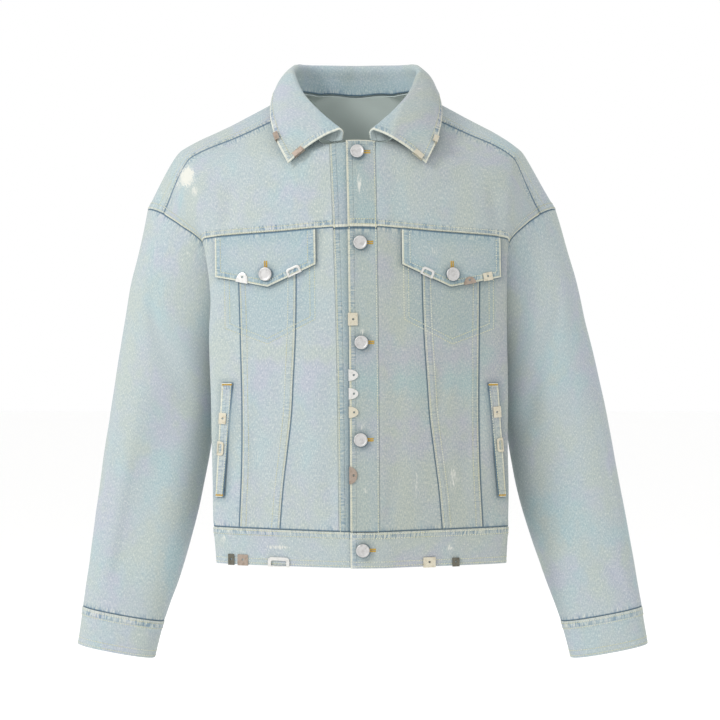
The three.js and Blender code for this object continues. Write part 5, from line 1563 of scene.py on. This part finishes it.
body_rows = Sewing()
front_names = ("front_centre", "front_middle", "front_side", "front_yoke")
fronts = {side: surface_of(*(f"{name}_{hand}" for name in front_names)) for side, hand in HANDS}
back = surface_of("back_yoke", "back_panel")
for side, hand in HANDS:
    front = fronts[side]
    start = neck_edge(np.array([float(YOKE_SEAM)]), FRONT_EDGE[side])[0]
    for shift, inner_shift in ((NEAR_ROW, NEAR_ROW), (FAR_ROW, FAR_ROW + 2.0)):
        for surface, path in (
                (front, along_a(side, YOKE_SEAM, start + 0.005, 0.995, shift)),
                (front, along_t(side, seam_a(inner_seam), 1.02, 4.98, inner_shift)),
                (front, along_t(side, seam_a(outer_seam), 1.02, 4.98, -shift)),
                (front, along_t(side, side_seam, 1.02, SHOULDER - 0.02, -shift)),
                (back, along_t(side, side_seam, SHOULDER + 0.02, 14.98, -shift)),
                (back, along_a(side, SHOULDER, 0.03, 0.99, shift)),
                (back, along_a(side, BACK_YOKE_SEAM, 0.0, 0.99, -shift))):
            body_rows.row(surface, path)
    fx, fz = FLAP
    flap = surface_of(f"flap_{hand}")
    top_in, top_out = (seam_height(np.array([float(v)]))[0] - 4 for v in (fx[0], fx[2]))
    for shift, side_shift in ((1.7, 1.7), (7.6, 10.5)):
        body_rows.row(flap, on_lines(side, [
            (fx[0] + side_shift, top_in), (fx[0] + side_shift, fz[0] + shift - 0.46 * side_shift),
            (fx[1], fz[1] + shift * 1.08), (fx[2] - min(side_shift, 7), fz[2] + shift - 0.1 * side_shift),
            (fx[2] - min(side_shift, 7), top_out)]))
    px, pz = POUCH
    for shift in (0, 6.5):
        body_rows.row(front, on_lines(side, [
            (px[0] + shift, -222), (px[0] + shift, pz[0] + shift - 0.5 * shift), (px[1], pz[1] + shift * 1.1),
            (px[2] - shift, pz[2] + shift), (px[2] - shift, -236)]))
    welt = surface_of(f"welt_{hand}")
    for over in (0.16, 0.86):
        x, z = welt_place(np.array([over, over]), np.array([0.02, 0.98]))
        body_rows.row(welt, on_lines(side, list(zip(x, z))))
    cuff = surface_of(f"cuff_{hand}")
    for s in (7.06, 7.2, 7.8, 7.94):
        body_rows.row(cuff, along_sleeve(side, s))
over_front = surface_of("placket_left")
PLACKET_FOOT, PLACKET_HEAD = -586, -60
for x in (-PLACKET_EDGE + 2.2, PLACKET_SEAM - 2.0):
    body_rows.row(over_front, on_lines(1, [(x, PLACKET_FOOT), (x, PLACKET_HEAD)]))
for z in (-172 + NEAR_ROW, -172 + FAR_ROW):
    body_rows.row(over_front, lambda share: on_front(1, -PLACKET_EDGE + 3 + 36 * share, z + 0 * share))


def beside_placket(share):
    z = PLACKET_FOOT + (PLACKET_HEAD - PLACKET_FOOT) * share
    return on_front(-1, under_placket(z) - 2.2, z)


body_rows.row(surface_of("placket_right"), beside_placket)
band = surface_of("waistband")
for t in (0.06, 0.18, 0.83, 0.95):
    body_rows.row(band, on_band(t))
turned_collar = surface_of("collar")
body_rows.row(turned_collar, lambda share: on_fall(-0.965 + 1.93 * share, 0.925 + 0 * share))
for u in (-0.965, 0.965):
    body_rows.row(turned_collar, lambda share: on_fall(u + 0 * share, 0.52 + 0.405 * share))
pale_thread = thread("pale_thread", seen(212, 212, 178), seen(228, 230, 212), 0.8)
body_rows.finish("topstitching", STITCH, pale_thread)

# The buttonholes and bar tacks: close ochre stitches, worked across a slit beside each button and across the
# ends of each welt.
HOLE_STITCH = {"Length": 3.0, "Width": 0.95, "Height": 0.9}
HOLE_PITCH = 0.8
HOLE_TURN, TACK_TURN = 1.2, 1.35
HOLE_FROM, HOLE_TO, HOLE_HALF = 2.0, 17.5, 1.3
tight_rows = Sewing()
for x, z in FRONT_BUTTONS.values():
    target = band if z < -590 else over_front
    for up in (-HOLE_HALF, HOLE_HALF):
        path = on_lines(1, [(x + HOLE_FROM, z + up), (x + HOLE_TO, z + up)])
        tight_rows.row(target, path, HOLE_PITCH, HOLE_TURN)
for side, hand in HANDS:
    x, z = FLAP_BUTTON
    for over in (-HOLE_HALF, HOLE_HALF):
        path = on_lines(side, [(x + over, z + 4), (x + over, z + 18)])
        tight_rows.row(surface_of(f"flap_{hand}"), path, HOLE_PITCH, HOLE_TURN)
    for up in (0.015, 0.985):
        x, z = welt_place(np.array([0.05, 0.95]), np.array([up, up]))
        tight_rows.row(surface_of(f"welt_{hand}"), on_lines(side, list(zip(x, z))), HOLE_PITCH, TACK_TURN)
ochre_thread = thread("ochre_thread", seen(206, 164, 58), seen(212, 180, 92), 0.4)
tight_rows.finish("buttonholes_and_tacks", HOLE_STITCH, ochre_thread)

# The edge clips: plain stamped metal plates bent over the cloth's edges, silver, pale gold, bronze or dark.
# Each is the CAD's own plate with its sharp edges eased.
CLIP_FINISH = {
    "silver": ("clip_flap_right_disc", "clip_flap_right_arch", "clip_hem_right_arch", "clip_flap_left_arch",
               "clip_placket_disc_upper", "clip_placket_disc_middle"),
    "gold": ("clip_welt_right_tab", "clip_welt_right_arch", "clip_welt_left_tab", "clip_welt_left_arch",
             "clip_placket_tab", "clip_placket_disc_lower", "clip_hem_left_tab", "clip_collar_left_arch",
             "clip_collar_left_tab", "clip_flap_left_tab"),
    "bronze": ("clip_collar_right_disc", "clip_collar_right_arch", "clip_flap_left_disc",
               "clip_placket_disc_long", "clip_hem_right_tab"),
    "dark": ("clip_hem_right_narrow", "clip_hem_left_narrow"),
}
CLIP_METAL = {
    "silver": metal("clip_silver", srgb(214, 213, 210), 0.34, srgb(170, 168, 164), 0.4),
    "gold": metal("clip_gold", srgb(206, 200, 182), 0.34, srgb(158, 146, 118), 0.4),
    "bronze": metal("clip_bronze", srgb(164, 150, 138), 0.4, srgb(120, 104, 88), 0.5),
    "dark": metal("clip_dark", srgb(108, 106, 96), 0.42, srgb(74, 72, 62), 0.5),
}
CLIP_EASE = 0.00018
CLIP_PROUD = 0.0009
CLIP_SHARP = 0.6
CLIP_WELD, CLIP_FLAT = 2e-6, 0.03
for finish, nodes in CLIP_FINISH.items():
    for node in nodes:
        bm = bmesh.new()
        bm.from_mesh(bpy.data.objects[node].data)
        bmesh.ops.remove_doubles(bm, verts=bm.verts, dist=CLIP_WELD)
        bmesh.ops.dissolve_limit(bm, angle_limit=CLIP_FLAT, verts=bm.verts, edges=bm.edges)
        sharp = [e for e in bm.edges if len(e.link_faces) == 2 and e.calc_face_angle() > CLIP_SHARP]
        bmesh.ops.bevel(bm, geom=sharp, offset=CLIP_EASE, segments=2, profile=0.5, affect="EDGES")
        bmesh.ops.triangulate(bm, faces=bm.faces)
        bmesh.ops.translate(bm, verts=bm.verts, vec=(0, -CLIP_PROUD, 0))
        mesh = mesh_from(bm, f"plated_{node}", CLIP_METAL[finish])
        add_piece(mesh.name, mesh, node)
